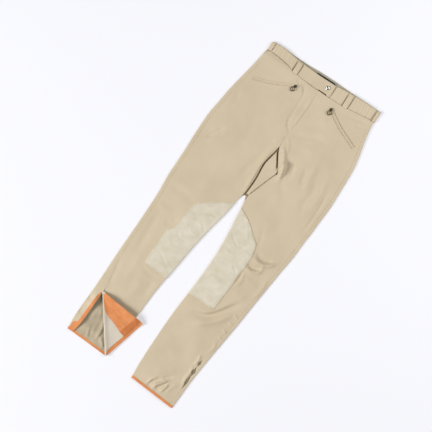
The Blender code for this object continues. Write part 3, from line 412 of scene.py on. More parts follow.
# %% Height of the front
CLOTH, SUEDE, TRIM, BAND, AIR = 1.2, 1.0, 0.8, 2.4, 0.3
WAIST_EDGE = -30.3         # mean place of the seam under the waistband, whose curve is:
WAIST_SEAM = [(-190, -18), (-164, -17), (-135, -18.5), (-105, -23), (-85, -30), (-55, -34.5),
              (-15, -36.5), (35, -38), (65, -38), (95, -37), (135, -32), (165, -28), (200, -27)]
PUFF = [(-1025, 0.6), (-930, 1.3), (-780, 1.8), (-178, 1.8), (-140, 1.4), (-100, 0.9), (-60, 0.2),
        (-30, 0.0)]
FRONT_CREASES = LEFT_CREASES + RIGHT_CREASES
RELIEF = 1.4               # the tables above give shapes; this sets how deep they all are
FLY_STITCH = [(-37, -41), (-25, -66), (-21.5, -100), (-20.5, -140), (-17, -160), (-10, -173),
              (-1, -180)]
POCKETS = {
    "right": [(-170, -109), (-140, -99), (-112, -88), (-82, -73), (-58, -62)],
    "left": [(178, -120), (148, -107), (118, -94), (92, -79), (68, -63)],
}
GROOVES = [
    (FLY_STITCH, 3.4, -1.3),
    ([(9, -46), (11, -92), (8, -124), (7, -152), (4, -172)], 3.0, -0.8),
    ([(34, -303), (25, -326), (10, -366), (1, -396)], 2.6, -2.0),
]
for side, path in POCKETS.items():
    print(side, "pocket from", path[0], "to", path[-1])

# %% [markdown]
# Grooves are the opposite of creases: a thread draws the cloth down evenly along its whole seam.

# %% Grooves and the height function
def spot(x, y, centre, reach):
    """1 at a point, fading to 0 over `reach`, as a bell curve."""
    return np.exp(-((x - centre[0]) ** 2 + (y - centre[1]) ** 2) / reach**2)


def threads(table, x, y):
    """Grooves of one even depth along their whole path, with a short run-out at each end."""
    total = np.zeros(np.shape(x))
    for path, width, depth in table:
        away, _ = from_path(eased_path(path, 5.0), x, y)
        total += depth * np.exp(-((away / width) ** 2))
    return total


SLIDERS = [
    tuple(((np.array(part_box(f"zip_slider_{side}")[0]) + np.array(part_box(f"zip_slider_{side}")[1]))
           / 2 - ZERO)[:2] / MM) for side in LEGS]


def patch_lift(y, share):
    """The inner side of a knee stands a patch's thickness higher, because the patch runs under it."""
    along = soft_step(y, -790, -735) * (1 - soft_step(y, -425, -388))
    return (SUEDE + AIR) * along * soft_step(share, 0.42, 0.60)


def bulge(y, share):
    """Puff across a front: sin(pi s) on a leg, sin(pi s / 2) above the crotch, mixed between."""
    body = soft_step(y, -330, -180)
    return (1 - body) * np.sin(np.pi * share) + body * np.sin(np.pi * share / 2)


def front_height(leg, x, y):
    """Outer face of the front: folded-side height, patch lift, puff, grooves and creases. Creases
    fade out at the side fold and at the rolled inseam, where the cloth turns under."""
    x, y = np.broadcast_arrays(np.asarray(x, float), np.asarray(y, float))
    outer, inner = leg.outer(y), leg.inner(y)
    share = np.clip((x - outer) / (inner - outer), 0, 1)
    base = leg.edge(y) + patch_lift(y, share) + through(PUFF, y) * bulge(y, share)
    free = soft_step(np.abs(x - outer), 1.0, 9.0) * (1 - soft_step(y, -44, -34))
    free = free * (1 - soft_step(-y, 404, 424) * (1 - soft_step(np.abs(inner - x), 0.0, 8.0)))
    for place in SLIDERS:
        free = free * (1 - spot(x, y, (place[0], place[1] - 6), 15.0))
    raised = base + free * (RELIEF * creases(FRONT_CREASES, x, y) + threads(GROOVES, x, y))
    return np.maximum(raised, 2 * CLOTH + AIR + patch_lift(y, share))


for side, leg in LEGS.items():
    x, y = SLIDERS[0 if side == "right" else 1]
    print(side, "cloth under the slider:", round(float(front_height(leg, x, y)), 2), "mm, slider from",
          round(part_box(f"zip_slider_{side}")[0].z / MM, 2), "mm")

# %% [markdown]
# ## From a grid to a wall of cloth
# Every cloth piece is a grid of points on its outer face. The inner face is the same grid, moved
# inwards along its normals by the cloth's thickness, and a rim closes the edges. Both faces come
# from whole arrays, so the creases on the two sides stay parallel, as they do in real cloth.

# %% Walls from grids
def normals_of(grid):
    """Unit normals of a grid: the cross product of its directions along a row and down a column,
    turned so that the first rows and columns, which lie on top, face up."""
    across, down = np.gradient(grid, axis=1), np.gradient(grid, axis=0)
    normal = np.cross(across, down)
    size = np.linalg.norm(normal, axis=-1, keepdims=True)
    normal = np.where(size > 1e-9, normal / np.maximum(size, 1e-9), [0.0, 0.0, 1.0])
    flip = normal[: len(grid) // 8 + 2, :3, 2].mean() < 0
    return (-normal if flip else normal), flip


def grid_quads(rows, cols, flip):
    """Corner numbers of all the quads of a grid, row by row."""
    index = np.arange(rows * cols).reshape(rows, cols)
    quads = np.stack([index[:-1, :-1], index[:-1, 1:], index[1:, 1:], index[1:, :-1]], -1)
    quads = quads.reshape(-1, 4)
    return (quads[:, ::-1] if flip else quads), index


def cut_of(grid):
    """Flat size of a grid: its widest row, its longest column and its area, in metres."""
    wide = np.linalg.norm(np.diff(grid, axis=1), axis=-1).sum(axis=1).max()
    long = np.linalg.norm(np.diff(grid, axis=0), axis=-1).sum(axis=0).max()
    sides = np.cross(grid[1:, 1:] - grid[:-1, :-1], grid[1:, :-1] - grid[:-1, 1:])
    area = np.linalg.norm(sides, axis=-1).sum() / 2
    return wide * MM, long * MM, area * MM * MM


ruler = np.stack([*np.meshgrid(np.arange(0, 21.0, 5), np.arange(0, 31.0, 5)), np.zeros((7, 5))], -1)
print("a flat grid of 20 x 30 mm is cut, in metres:", [round(v, 4) for v in cut_of(ruler)])

# %% [markdown]
# The mesh is built in the garment's millimetres and moved to metres in one step, so the object
# itself stays at the origin. A wall's inner face may have another material than its outer face.

# %% Objects and walls
def new_object(name, points, faces, finish):
    """An object at the origin whose mesh holds its place, from garment millimetres."""
    mesh = bpy.data.meshes.new(name)
    mesh.from_pydata((points.reshape(-1, 3) * MM + ZERO).tolist(), [], [list(f) for f in faces])
    for stuff in finish if isinstance(finish, (list, tuple)) else [finish]:
        mesh.materials.append(stuff)
    made = bpy.data.objects.new(name, mesh)
    bpy.context.scene.collection.objects.link(made)
    mesh.shade_smooth()
    mesh.set_sharp_from_angle(angle=math.radians(50))
    return made


def wall(name, grid, thickness, finish, inside=None):
    """A closed wall: the grid outside, the moved grid inside, and a rim round the four edges."""
    normal, flip = normals_of(grid)
    rows, cols = grid.shape[:2]
    quads, index = grid_quads(rows, cols, flip)
    rim = np.concatenate([index[0], index[1:, -1], index[-1, -2::-1], index[-2:0:-1, 0]])
    following, under = np.roll(rim, -1), rows * cols
    edge = np.stack([following, rim, rim + under, following + under], axis=-1)
    faces = np.concatenate([quads, quads[:, ::-1] + under, edge[:, ::-1] if flip else edge])
    points = np.concatenate([grid.reshape(-1, 3), (grid - normal * thickness).reshape(-1, 3)])
    made = new_object(name, points, faces.tolist(), [finish, inside] if inside else finish)
    if inside:
        slots = np.zeros(len(faces), np.int32)
        slots[len(quads) : 2 * len(quads)] = 1
        made.data.polygons.foreach_set("material_index", slots)
    return made

# %% [markdown]
# Every sheet prints the flat size that it was cut to, which is what a cutter would lay out on the roll:
# its widest row, its longest column and its area.

# %% Attaching a piece
SHORTEST = 0.0101          # metres; a narrow strip counts as this wide in the sheet's record


def sewn(made, slot, *nodes, cut=None, rests_on=()):
    """Attaches a piece: it moves with the garment, stands for some solids, which are hidden, and, if it
    is a sheet of cloth, prints the flat size that it was cut to. Its slot is not used."""
    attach(made, "garment")
    if nodes:
        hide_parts(*nodes)
    if cut:
        wide, long, area = cut
        wide, long = max(wide, SHORTEST), max(long, SHORTEST)
        print(f"{made.name}: cut {wide * 1000:.0f} x {long * 1000:.0f} mm, {area * 1e4:.0f} cm2")
    return made


# %% [markdown]
# ## Materials
# Breeches are sewn from few stuffs: a beige cotton twill with some stretch, pale synthetic suede on
# the knees, an orange fine knit for bindings, and metal for zips and snap. Each material is made of
# nodes that read Object coordinates, so that a thread has the same size on every piece.

# %% Colour and node helpers
def linear(hex_colour):
    """An sRGB hex string as linear RGBA, which is what a shader socket wants."""
    parts = [int(hex_colour[i : i + 2], 16) / 255 for i in (0, 2, 4)]
    return (*(c / 12.92 if c <= 0.04045 else ((c + 0.055) / 1.055) ** 2.4 for c in parts), 1.0)


def add(tree, kind, values=None, wires=None, **settings):
    """One node with its settings, the values of its inputs and the links that come into it."""
    made = tree.nodes.new(kind)
    for name, value in settings.items():
        setattr(made, name, value)
    for socket, value in (values or {}).items():
        made.inputs[socket].default_value = value
    for socket, source in (wires or {}).items():
        tree.links.new(source, made.inputs[socket])
    return made


def start_material(name, roughness, metallic=0.0, sheen=0.0):
    """An empty Principled material: its tree, its shader and the Object coordinates."""
    made = bpy.data.materials.new(name)
    made.use_nodes = True
    shader = made.node_tree.nodes["Principled BSDF"]
    shader.inputs["Roughness"].default_value = roughness
    shader.inputs["Metallic"].default_value = metallic
    shader.inputs["Sheen Weight"].default_value = sheen
    shader.inputs["Sheen Roughness"].default_value = 0.5
    place = add(made.node_tree, "ShaderNodeTexCoord").outputs["Object"]
    return made, made.node_tree, shader, place


print("beige CFBFA4 in linear light:", [round(part, 3) for part in linear("CFBFA4")])

# %% [markdown]
# Patterns are few: clouds for dye and wear, ribs for weave and knit, and relief from either. Their
# scale is always a real length in metres.

# %% Pattern helpers
def noise(tree, place, size, detail=3.0, roughness=0.55):
    """Cloudy variation whose spots are about `size` metres across."""
    return add(tree, "ShaderNodeTexNoise", {"Scale": 1 / size, "Detail": detail,
               "Roughness": roughness}, {"Vector": place}).outputs["Fac"]


def blend(tree, factor, a, b):
    """Two colours mixed by a factor; a and b are hex strings or sockets."""
    values = {i: linear(c) for i, c in ((6, a), (7, b)) if isinstance(c, str)}
    wires = {i: c for i, c in ((6, a), (7, b)) if not isinstance(c, str)}
    return add(tree, "ShaderNodeMix", values, {0: factor, **wires}, data_type="RGBA").outputs[2]


def stretch(tree, value, low, high):
    """The range low..high of a value spread over 0..1."""
    return add(tree, "ShaderNodeMapRange", {"From Min": low, "From Max": high},
               {"Value": value}).outputs["Result"]


def stripes(tree, place, period, angle, wobble=0.6):
    """Fine parallel ribs, `period` metres apart, turned by `angle` degrees in the cloth's plane. A
    wave texture has 20 radians to a unit of its scale, hence 2 pi / (20 * period)."""
    turned = add(tree, "ShaderNodeMapping", {"Rotation": (0, 0, math.radians(angle))},
                 {"Vector": place}).outputs["Vector"]
    return add(tree, "ShaderNodeTexWave", {"Scale": 2 * math.pi / (20 * period),
               "Distortion": wobble, "Detail": 1.0, "Detail Scale": 1.0},
               {"Vector": turned}).outputs["Fac"]


def bump(tree, shader, height, depth, strength=1.0, after=None):
    """Surface relief of `depth` metres from a height value."""
    wires = {"Height": height, **({"Normal": after} if after else {})}
    made = add(tree, "ShaderNodeBump", {"Strength": strength, "Distance": depth}, wires)
    tree.links.new(made.outputs["Normal"], shader.inputs["Normal"])
    return made.outputs["Normal"]

# %% [markdown]
# One recipe makes every cloth here, since cloth differs in few things: two tones and how large its
# clouds are, how its ribs run, how deep they are, and how much its fibres shine at the edges.

# %% The recipe for cloth
def cloth_finish(name, pale, dark, roughness, sheen, ribs, depth, mottle, fuzz=0.0012):
    """A woven or knitted stuff. Its colour drifts slowly between two tones, the way dye and washing
    leave it, its threads are ribs in one or two directions, and its fibres are a fine fuzz."""
    made, tree, shader, place = start_material(name, roughness, 0.0, sheen)
    shader.inputs["Sheen Tint"].default_value = linear(pale)
    drift = stretch(tree, noise(tree, place, mottle, 4.0), 0.3, 0.7)
    colour = blend(tree, drift, pale, dark)
    fibre = noise(tree, place, fuzz, 2.0, 0.7)
    thread = None
    for period, angle in ribs:
        rib = stripes(tree, place, period, angle)
        thread = rib if thread is None else add(
            tree, "ShaderNodeMath", {}, {0: thread, 1: rib}, operation="MULTIPLY").outputs[0]
    height = fibre if thread is None else add(
        tree, "ShaderNodeMath", {2: 0.5}, {0: fibre, 1: thread}, operation="ADD").outputs[0]
    shade = stretch(tree, height, 0.2, 1.4)
    # painted light and shade of the weave: 6 % paler on the threads' crowns than in the gaps between
    # them
    weave_light_and_shade = add(tree, "ShaderNodeMath", {1: 0.06, 2: 0.97}, {0: shade},
                operation="MULTIPLY_ADD").outputs[0]
    scaled = add(tree, "ShaderNodeVectorMath", {}, {0: colour, "Scale": weave_light_and_shade},
                 operation="SCALE").outputs[0]
    tree.links.new(scaled, shader.inputs["Base Color"])
    bump(tree, shader, height, depth, 0.6)
    return made


# %% [markdown]
# Cotton twill has a fine diagonal rib, four or five threads to a millimetre. That is too fine to
# see at this size, so the rib here is 1.5 mm wide, the least that still reads as a slant. Its face
# is matt with a faint bloom from the brushed cotton fibres; its inner side is paler and flatter.

# %% Stuffs
# the face of the twill: matt and even, with a faint bloom where the light grazes it
TWILL = cloth_finish("cotton_twill", "CFBFA4", "C6B69A", 0.86, 0.12, [(0.0015, 52)], 0.00012, 0.10)
# its wrong side: paler, chalkier, and the rib leans the other way
TWILL_INSIDE = cloth_finish("twill_wrong_side", "D4CABA", "C8BDA9", 0.92, 0.08,
                            [(0.0015, 38)], 0.00010, 0.05)
# the wrong side of the backs, seen through the opened cuff and the vent's gaps: painted shade, darker
# and greyer than the wrong side elsewhere
BACK_INSIDE_SHADED = cloth_finish("twill_inside_painted_shade", "BFB197", "A99B82", 0.92, 0.05,
                           [(0.0015, 38)], 0.00010, 0.03)
# painted shade: the twill deep in the gusset's trenches, a dull brown line
TWILL_PAINTED_SHADE = cloth_finish("twill_painted_fold_shade", "8F7C60", "7C6A50", 0.92, 0.05,
                             [(0.0015, 52)], 0.00010, 0.03)
# brushed suede: no ribs, the most matt of all, clouded where the nap lies different ways
SUEDE_NAP = cloth_finish("synthetic_suede", "DBD3BF", "CEC5AF", 0.95, 0.30, [], 0.00025, 0.022,
                         0.0016)
# fine knit: ribs both ways, 1.6 and 2 mm apart (really about 0.5), so its face looks beaded
KNIT = cloth_finish("orange_fine_knit", "E0945D", "D2824A", 0.84, 0.15,
                    [(0.0016, 0), (0.0020, 90)], 0.00025, 0.02)
# the same knit lying double, which lets less light through and looks deeper
# the knit in a darker orange: painted shade on the facing's outer end; the hem stitches' thread is this
# colour too
DARK_KNIT_AND_SHADE = cloth_finish("dark_orange_knit_and_painted_shade", "D08048", "BE6D38", 0.86, 0.10,
                          [(0.0016, 0), (0.0020, 90)], 0.00025, 0.012)
# the band's elastic lining: grey-green beside the beige
BAND_LINING = cloth_finish("waistband_lining", "B5B09C", "A39E8B", 0.9, 0.05, [(0.0015, 0)],
                           0.0001, 0.03)
# a woven label: smooth satin threads, so darker and a little glossy
LABEL_WEAVE = cloth_finish("black_label_weave", "24211F", "1C1A18", 0.6, 0.2, [(0.0008, 90)],
                           0.00006, 0.01)
# polyester thread: smoother than the cloth; the second lies in a seam's shade
THREAD = cloth_finish("beige_sewing_thread", "CDBD9F", "C0AF90", 0.7, 0.1, [], 0.00005, 0.004)
DARK_THREAD = cloth_finish("shaded_seam_thread", "8C7B60", "7C6C52", 0.75, 0.0, [], 0.00005, 0.004)
print("cloths:", [stuff.name for stuff in (TWILL, SUEDE_NAP, KNIT, BAND_LINING, LABEL_WEAVE)])

# %% [markdown]
# Small metal parts are plated castings. A metal takes its colour from its reflection, so these are
# fully metallic, and a little uneven wear keeps them from looking like new mirrors.

# %% Metals
def metal_finish(name, pale, dark, roughness, grain):
    """A plated casting: full metal, its roughness and tone broken up by a little tarnish."""
    made, tree, shader, place = start_material(name, roughness, 1.0)
    worn = stretch(tree, noise(tree, place, grain, 5.0), 0.35, 0.65)
    tree.links.new(blend(tree, worn, pale, dark), shader.inputs["Base Color"])
    rough = add(tree, "ShaderNodeMapRange", {"To Min": roughness * 0.8, "To Max": roughness * 1.3},
                {"Value": worn}).outputs["Result"]
    tree.links.new(rough, shader.inputs["Roughness"])
    bump(tree, shader, worn, 0.00004, 0.4)
    return made


# bright nickel on the snap mirrors the lamps; the zip's casting is browned, then rubbed
NICKEL = metal_finish("bright_nickel_plate", "E4E1DA", "CFCBC2", 0.2, 0.003)
ANTIQUE = metal_finish("antiqued_zinc_casting", "7A6A50", "463B2C", 0.42, 0.002)
print("metals:", NICKEL.name, "and", ANTIQUE.name)

# %% [markdown]
# ## The four panels
# A leg is two panels. The back lies on the table and comes round the side, so the side seam sits a
# finger's width in on the front. The front starts there, runs across the leg and, below the crotch,
# rolls down to meet the back at the inseam. Each is a grid: one row across the leg every 2.5 mm.

# %% Rows and columns of a panel
APEX, HEEL, TIP = np.array([-195.0, -848.0]), np.array([-90.0, -998.0]), np.array([-50.0, -862.0])
FOLD_RADIUS = 2.4
FOLD_RUN = (HEEL - APEX) / np.linalg.norm(HEEL - APEX)
FOLD_OUT = np.array([FOLD_RUN[1], -FOLD_RUN[0]])
FOLD_TOP, FOLD_END = APEX - FOLD_OUT * FOLD_RADIUS, HEEL - FOLD_OUT * FOLD_RADIUS
HEM_WIDTH = 10.0
HEM_RUN = (TIP - FOLD_END) / np.linalg.norm(TIP - FOLD_END)
HEM_INWARDS = np.array([-HEM_RUN[1], HEM_RUN[0]])
# rows of the right front turn towards the fold of the opened cuff: (y at the inseam, y at the side)
RIGHT_TURN = [(-30.3, -30.3), (-720, -720), (-756, -742), (-800, -768), (-848, -794),
              (-900, -816), (-950, -833), (-998, -848)]
LEFT_TURN = [(-30.3, -30.3), (-940, -940), (-998.5, -1009.5), (-1009, -1020)]
RIGHT_BACK_TURN = [(-30.3, -30.3), (-940, -940), (-988.5, -980.5), (-998, -990.5)]
HEM_TOP = {"right": -990.5, "left": -1001.0}
ROLL_STEPS = 6
VENT_GAPS = [(-870, 7, 7.5), (-899, 9, 10.5), (-933, 16, 7.0)]      # (y, half length, gap)
FRONT_SHARE, BACK_SHARE = 0.62, 0.60      # how much of a gap each of the two edges draws back


def turned_in(leg, y):
    """1 where the inner edge rolls under at the inseam, 0 where it ends flat at a seam."""
    ends = 1 - soft_step(-y, 978, 992) if leg.side == "right" else 1.0
    return soft_step(-y, 396, 412) * ends


def vent_gap(y):
    """How far the closed vent of the left leg gapes at its side seam: a sum of bell curves."""
    return sum(gap * np.exp(-(((y - middle) / reach) ** 2)) for middle, reach, gap in VENT_GAPS)


binding_right = line("vent_binding_right", 1, 0, 1, 4.0)


def side_edge(leg, y):
    """Where the front meets the part of the back that comes round the side."""
    if leg.side == "right":
        return np.where(y > -846, leg.seam(y), binding_right(y))
    return leg.seam(y)


def rows_from(turn_table, start, stop, step):
    """y at the inseam and y at the side for every row from start to stop."""
    inner = np.linspace(start, stop, max(3, int(round(abs(stop - start) / step)) + 1))
    table = np.array(turn_table, float)[::-1]
    return inner, np.interp(inner, table[:, 0], table[:, 1])


def waist_shift(x, y):
    """Rows near the waist follow the waistband's curved lower edge, and straighten further down."""
    return (through(WAIST_SEAM, x) - 0.5 - WAIST_EDGE) * soft_step(y, -88, WAIST_EDGE)


print("the cuff's fold runs", round(float(np.linalg.norm(HEEL - APEX))), "mm")

# %% [markdown]
# A front's row is a straight run across the leg at the front's height, then a quarter turn down
# round the inseam, where a folded edge is round. Above the crotch the edge is a seam and stays flat.

# %% Front panels
def front_grid(leg, y_inner, y_side, columns=80):
    """Outer face of a front, row by row: a straight run across the leg at the front's height, then
    a quarter turn down to the inseam, which opens out flat where the edge is a seam."""
    gap = FRONT_SHARE * vent_gap(y_side) if leg.side == "left" else 0.0
    a = np.stack([side_edge(leg, y_side) - leg.sign * gap, y_side], -1)
    joined = 0.3 * soft_step(y_inner, -236, -226)
    b = np.stack([leg.inner(y_inner) + leg.sign * (0.15 - joined), y_inner], -1)
    if leg.side == "right":
        drawn_in = soft_step(-y_inner, 930, 998)[:, None] * FOLD_OUT * FOLD_RADIUS
        a, b = a - drawn_in, b - drawn_in
    length = np.linalg.norm(b - a, axis=1, keepdims=True)
    towards = (b - a) / length
    radius = (leg.edge(y_inner) / 2)[:, None]
    share = np.linspace(0, 1, columns) * (1 - radius / length)
    plan = a[:, None] + share[..., None] * (b - a)[:, None]
    plan[..., 1] += waist_shift(plan[..., 0], plan[..., 1])
    height = front_height(leg, plan[..., 0], plan[..., 1])
    flat = np.concatenate([plan, height[..., None]], -1)
    angle = np.linspace(0, math.pi / 2, ROLL_STEPS + 1)[1:]
    turn = turned_in(leg, y_inner)[:, None]
    reach = radius * (turn * np.sin(angle) + (1 - turn) * angle / angle[-1])
    corner = flat[:, -1:, :2] + reach[..., None] * towards[:, None]
    drop = turn * radius * (1 - np.cos(angle))
    end = front_height(leg, corner[..., 0], corner[..., 1])
    top = turn * height[:, -1:] + (1 - turn) * end
    rolled = np.concatenate([corner, (top - drop)[..., None]], -1)
    return np.concatenate([flat, rolled], axis=1)


y_inner, y_side = rows_from(LEFT_TURN, WAIST_EDGE, HEM_TOP["left"], 2.5)
grid = front_grid(LEGS["left"], y_inner, y_side)
front_left = sewn(wall("front_left", grid, CLOTH, TWILL, TWILL_INSIDE), "twill", "front_panel_left",
                  cut=cut_of(grid), rests_on=["back_left"])

# %% [markdown]
# ## The opened cuff
# The right leg's vent is undone. Its front corner is folded up over the leg, face down, so the
# fold is a soft roll from the top of the vent to the inseam, and the cloth's wrong side shows. The
# vent's own edge, faced with orange knit, springs up a little and throws a shadow on the leg.

# %% The folded corner
SPRING = 11.0              # how high the vent's edge stands up off the leg
SPRING_REACH = 15.0        # and how far in from that edge it still rises


def corner_height(x, y):
    """Underside of the folded corner: just above the leg, higher at the roll and at the vent's
    edge, and sinking where there is no leg below."""
    leg = LEGS["right"]
    beyond = x - leg.inner(y)
    to_tip = (TIP - APEX) / np.linalg.norm(TIP - APEX)
    from_edge = np.abs((x - APEX[0]) * to_tip[1] - (y - APEX[1]) * to_tip[0])
    along = ((x - APEX[0]) * to_tip[0] + (y - APEX[1]) * to_tip[1]) / np.linalg.norm(TIP - APEX)
    spring = SPRING * soft_step(along, -0.06, 0.22) * (1 - 0.45 * soft_step(along, 0.75, 1.0))
    from_fold = np.abs((x - APEX[0]) * FOLD_RUN[1] - (y - APEX[1]) * FOLD_RUN[0])
    roll = (2 * FOLD_RADIUS - 0.8) * np.exp(-((from_fold / 9) ** 2))
    wave = 0.7 * np.sin(from_fold / 13 + along * 4) * soft_step(from_fold, 12, 34)
    lying = front_height(leg, x, y) + 0.8 - 3.6 * soft_step(beyond, 0.0, 26.0)
    return lying + np.maximum(spring * np.exp(-((from_edge / SPRING_REACH) ** 2)), roll) + wave


def folded_corner(last_row):
    """The roll along the fold, r (1 - cos a) high, then rows that shrink from the fold to the
    corner's tip and leave room for the hem band."""
    share = (last_row[:, :2] - FOLD_TOP) @ FOLD_RUN / np.linalg.norm(FOLD_END - FOLD_TOP)
    rows = []
    for angle in np.radians(np.arange(18, 181, 18)):
        plan = last_row[:, :2] + FOLD_OUT * FOLD_RADIUS * math.sin(angle)
        rows.append(np.column_stack([plan, last_row[:, 2] + FOLD_RADIUS * (1 - math.cos(angle))]))
    for s in np.linspace(0.0, 0.965, 52)[1:]:
        inset = (HEM_WIDTH + 0.6) * min(s / 0.08, 1.0)
        start, end = FOLD_TOP + s * (TIP - FOLD_TOP), FOLD_END + s * (TIP - FOLD_END)
        plan = start + share[:, None] * (end + HEM_INWARDS * inset - start)
        rows.append(np.column_stack([plan, corner_height(plan[:, 0], plan[:, 1])]))
    return np.array(rows)


y_inner, y_side = rows_from(RIGHT_TURN, WAIST_EDGE, -998, 2.5)
grid = front_grid(LEGS["right"], y_inner, y_side)
grid = np.concatenate([grid, folded_corner(grid[-1])])
front_right = sewn(wall("front_right", grid, CLOTH, TWILL, TWILL_INSIDE), "twill",
                   "front_panel_right", cut=cut_of(grid), rests_on=["back_right"])

# %% [markdown]
# ## The backs
# A back panel lies flat on the table, which is why it has no puff. It comes round the side fold in
# a half circle and ends under the side seam. At the inseam it rolls up to meet the front. Creases
# can only stand up from the table here, so all its creases are ridges.

# %% Back panels
def floor_height(x, y):
    """How far the back stands off the table: its creases, and those inside the opened cuff."""
    return creases(BACK_CREASES, x, y) + creases(INSIDE_CREASES, x, y)


def cuff_rise(leg, x, y):
    """The free edge of the back stands up beside the opened vent, highest below its top."""
    if leg.side == "left":
        return np.zeros(np.shape(x))
    along = soft_step(-y, 846, 872) * (1 - soft_step(-y, 950, 990))
    wave = 0.55 + 0.15 * np.sin(y / 11.0) + 0.75 * np.exp(-(((y + 886) / 22) ** 2))
    dents = 2.6 * spot(x, y, (-215.0, -882.0), 8.0) + 1.8 * spot(x, y, (-216.0, -930.0), 9.0)
    return 8.5 * along * wave * soft_step(np.abs(x - leg.outer(y)), 3.0, 24.0) - along * dents


def wrap_height(leg, x, y):
    """Height of the strip of the back that has come round the side onto the front."""
    return front_height(leg, x, y) + cuff_rise(leg, x, y)


def back_grid(leg, y_inner, y_side, columns=54):
    """Outer face of a back: the strip on the front, the half turn round the side, the floor, and a
    quarter turn up to the inseam."""
    outer, edge = leg.outer(y_side)[:, None], leg.edge(y_side)[:, None]
    radius, sign = edge / 2, leg.sign
    start = np.abs(side_edge(leg, y_side)[:, None] - outer) + 0.4
    if leg.side == "left":
        start = start - BACK_SHARE * vent_gap(y_side)[:, None]
    reach = start + np.linspace(0, 1, 6) * (radius - start)
    x = outer - sign * reach
    y = np.repeat(y_side[:, None], x.shape[1], axis=1)
    y = y + waist_shift(x, y)
    strip = np.stack([x, y, wrap_height(leg, x, y)], -1)
    angle = np.linspace(0, math.pi, 10)[1:]
    x = outer - sign * radius + sign * radius * np.sin(angle)
    turn = np.stack([x, np.repeat(y[:, -1:], len(angle), axis=1), radius * (1 + np.cos(angle))], -1)
    a = np.stack([outer[:, 0] - sign * radius[:, 0], y_side], -1)
    b = np.stack([leg.seat(y_inner) + sign * 0.15, y_inner], -1)
    length = np.linalg.norm(b - a, axis=1, keepdims=True)
    towards, inner_radius = (b - a) / length, (leg.edge(y_inner) / 2)[:, None]
    share = np.linspace(0, 1, columns)[1:] * (1 - inner_radius / length)
    plan = a[:, None] + share[..., None] * (b - a)[:, None]
    plan[..., 1] += waist_shift(plan[..., 0], plan[..., 1]) + 1.4 * soft_step(plan[..., 1], -44, -31)
    height = patch_lift(plan[..., 1], share) + floor_height(plan[..., 0], plan[..., 1])
    floor = np.concatenate([plan, height[..., None]], -1)
    angle = np.linspace(0, math.pi / 2, ROLL_STEPS + 1)[1:]
    up = turned_in(leg, y_inner)[:, None]
    run = inner_radius * (up * np.sin(angle) + (1 - up) * angle / angle[-1])
    corner = floor[:, -1:, :2] + run[..., None] * towards[:, None]
    climb = floor[:, -1:, 2] + up * (inner_radius - AIR / 2) * (1 - np.cos(angle))
    rolled = np.concatenate([corner, climb[..., None]], -1)
    return np.concatenate([strip, turn, floor, rolled], axis=1)


for side, leg in LEGS.items():
    table = RIGHT_BACK_TURN if side == "right" else LEFT_TURN
    y_inner, y_side = rows_from(table, WAIST_EDGE, HEM_TOP[side], 3.5)
    grid = back_grid(leg, y_inner, y_side)
    sewn(wall(f"back_{side}", grid, CLOTH, TWILL, BACK_INSIDE_SHADED), "twill", f"back_panel_{side}",
         cut=cut_of(grid), rests_on=["floor"])

# %% [markdown]
# ## Knitted bands
# The hems end in a band of fine orange knit, a finger wide, which is stretchy enough to pass over a
# heel. It carries on from the panel at the same height. On the opened cuff the same knit faces the
# front's vent edge, as a wedge, and binds the back's.

# %% Hem bands, facing and binding
left = LEGS["left"]
for name, make, node in (("hem_left_front", front_grid, "hem_band_left_front"),
                         ("hem_left_back", back_grid, "hem_band_left_back")):
    y_inner, y_side = rows_from(LEFT_TURN, HEM_TOP["left"] - 0.3, -1008.8, 1.5)
    grid = make(left, y_inner, y_side)
    sewn(wall(name, grid, CLOTH, KNIT, KNIT), "knit", node, cut=cut_of(grid),
         rests_on=["floor"])

y_inner, y_side = rows_from(RIGHT_BACK_TURN, HEM_TOP["right"] - 0.3, -998, 1.5)
grid = back_grid(LEGS["right"], y_inner, y_side)
sewn(wall("hem_right_back", grid, CLOTH, KNIT, KNIT), "knit", "hem_band_right_back",
     cut=cut_of(grid), rests_on=["floor"])

# %% [markdown]
# Where the cuff is folded open, band and facing lie on the folded corner, so they take their height
# from it. Both are strips between two lines drawn on the corner's plan.

# %% Knit on the opened cuff
def strip_between(left_line, right_line, across, height):
    """A grid between two lines of plan points, lying at a height that is worked out from x and y."""
    share = np.linspace(0, 1, across)[:, None]
    plan = left_line[:, None] + share * (right_line - left_line)[:, None]
    return np.concatenate([plan, height(plan[..., 0], plan[..., 1])[..., None]], -1)


outer_line = FOLD_END + np.linspace(0.05, 0.99, 64)[:, None] * (TIP - FOLD_END)
grid = strip_between(outer_line, outer_line + HEM_INWARDS * HEM_WIDTH, 8,
                     lambda x, y: corner_height(x, y) + CLOTH)
sewn(wall("hem_right_front", grid, CLOTH, KNIT), "knit", "hem_band_right_front",
     cut=cut_of(grid), rests_on=["front_right"])

# %% [markdown]
# The facing is a wedge, wide at the hem and narrow at the vent's top, with a bowed lower edge. The
# binding of the other edge is a plain narrow strip.

# %% Facing and binding
FACING_TIP = np.array([-59.2, -860.4])
FACING_LOWER = [(-190, -853.5), (-176, -872), (-164, -886), (-150, -896), (-130, -903),
                (-105, -912), (-92, -918), (-76.5, -922)]
FACING_CREASES = [
    ([(-150, -866), (-110, -874), (-76, -872)], 4.0, 1.0),
    ([(-140, -880), (-108, -892), (-84, -900)], 4.0, 0.9),
    ([(-96, -868), (-86, -890), (-88, -912)], 4.0, -0.6),
]
ROWS, COLUMNS, SHADED_FROM = 70, 26, 60
lower = eased_path(FACING_LOWER, 1.0)
far = np.concatenate([[0], np.cumsum(np.linalg.norm(np.diff(lower, axis=0), axis=1))])
lower = np.column_stack([np.interp(np.linspace(0, far[-1], ROWS), far, c) for c in lower.T])
top_of_vent = FOLD_TOP + [0.0, 0.5]
upper = top_of_vent + np.linspace(0.05, 1.0, ROWS)[:, None] * (FACING_TIP - top_of_vent)
grid = strip_between(upper, lower, COLUMNS, lambda x, y: corner_height(x, y) + CLOTH + AIR + TRIM
                     + creases(FACING_CREASES, x, y))
facing = sewn(wall("vent_facing", grid, TRIM, KNIT), "knit", "vent_facing_right",
              cut=cut_of(grid), rests_on=["front_right"])
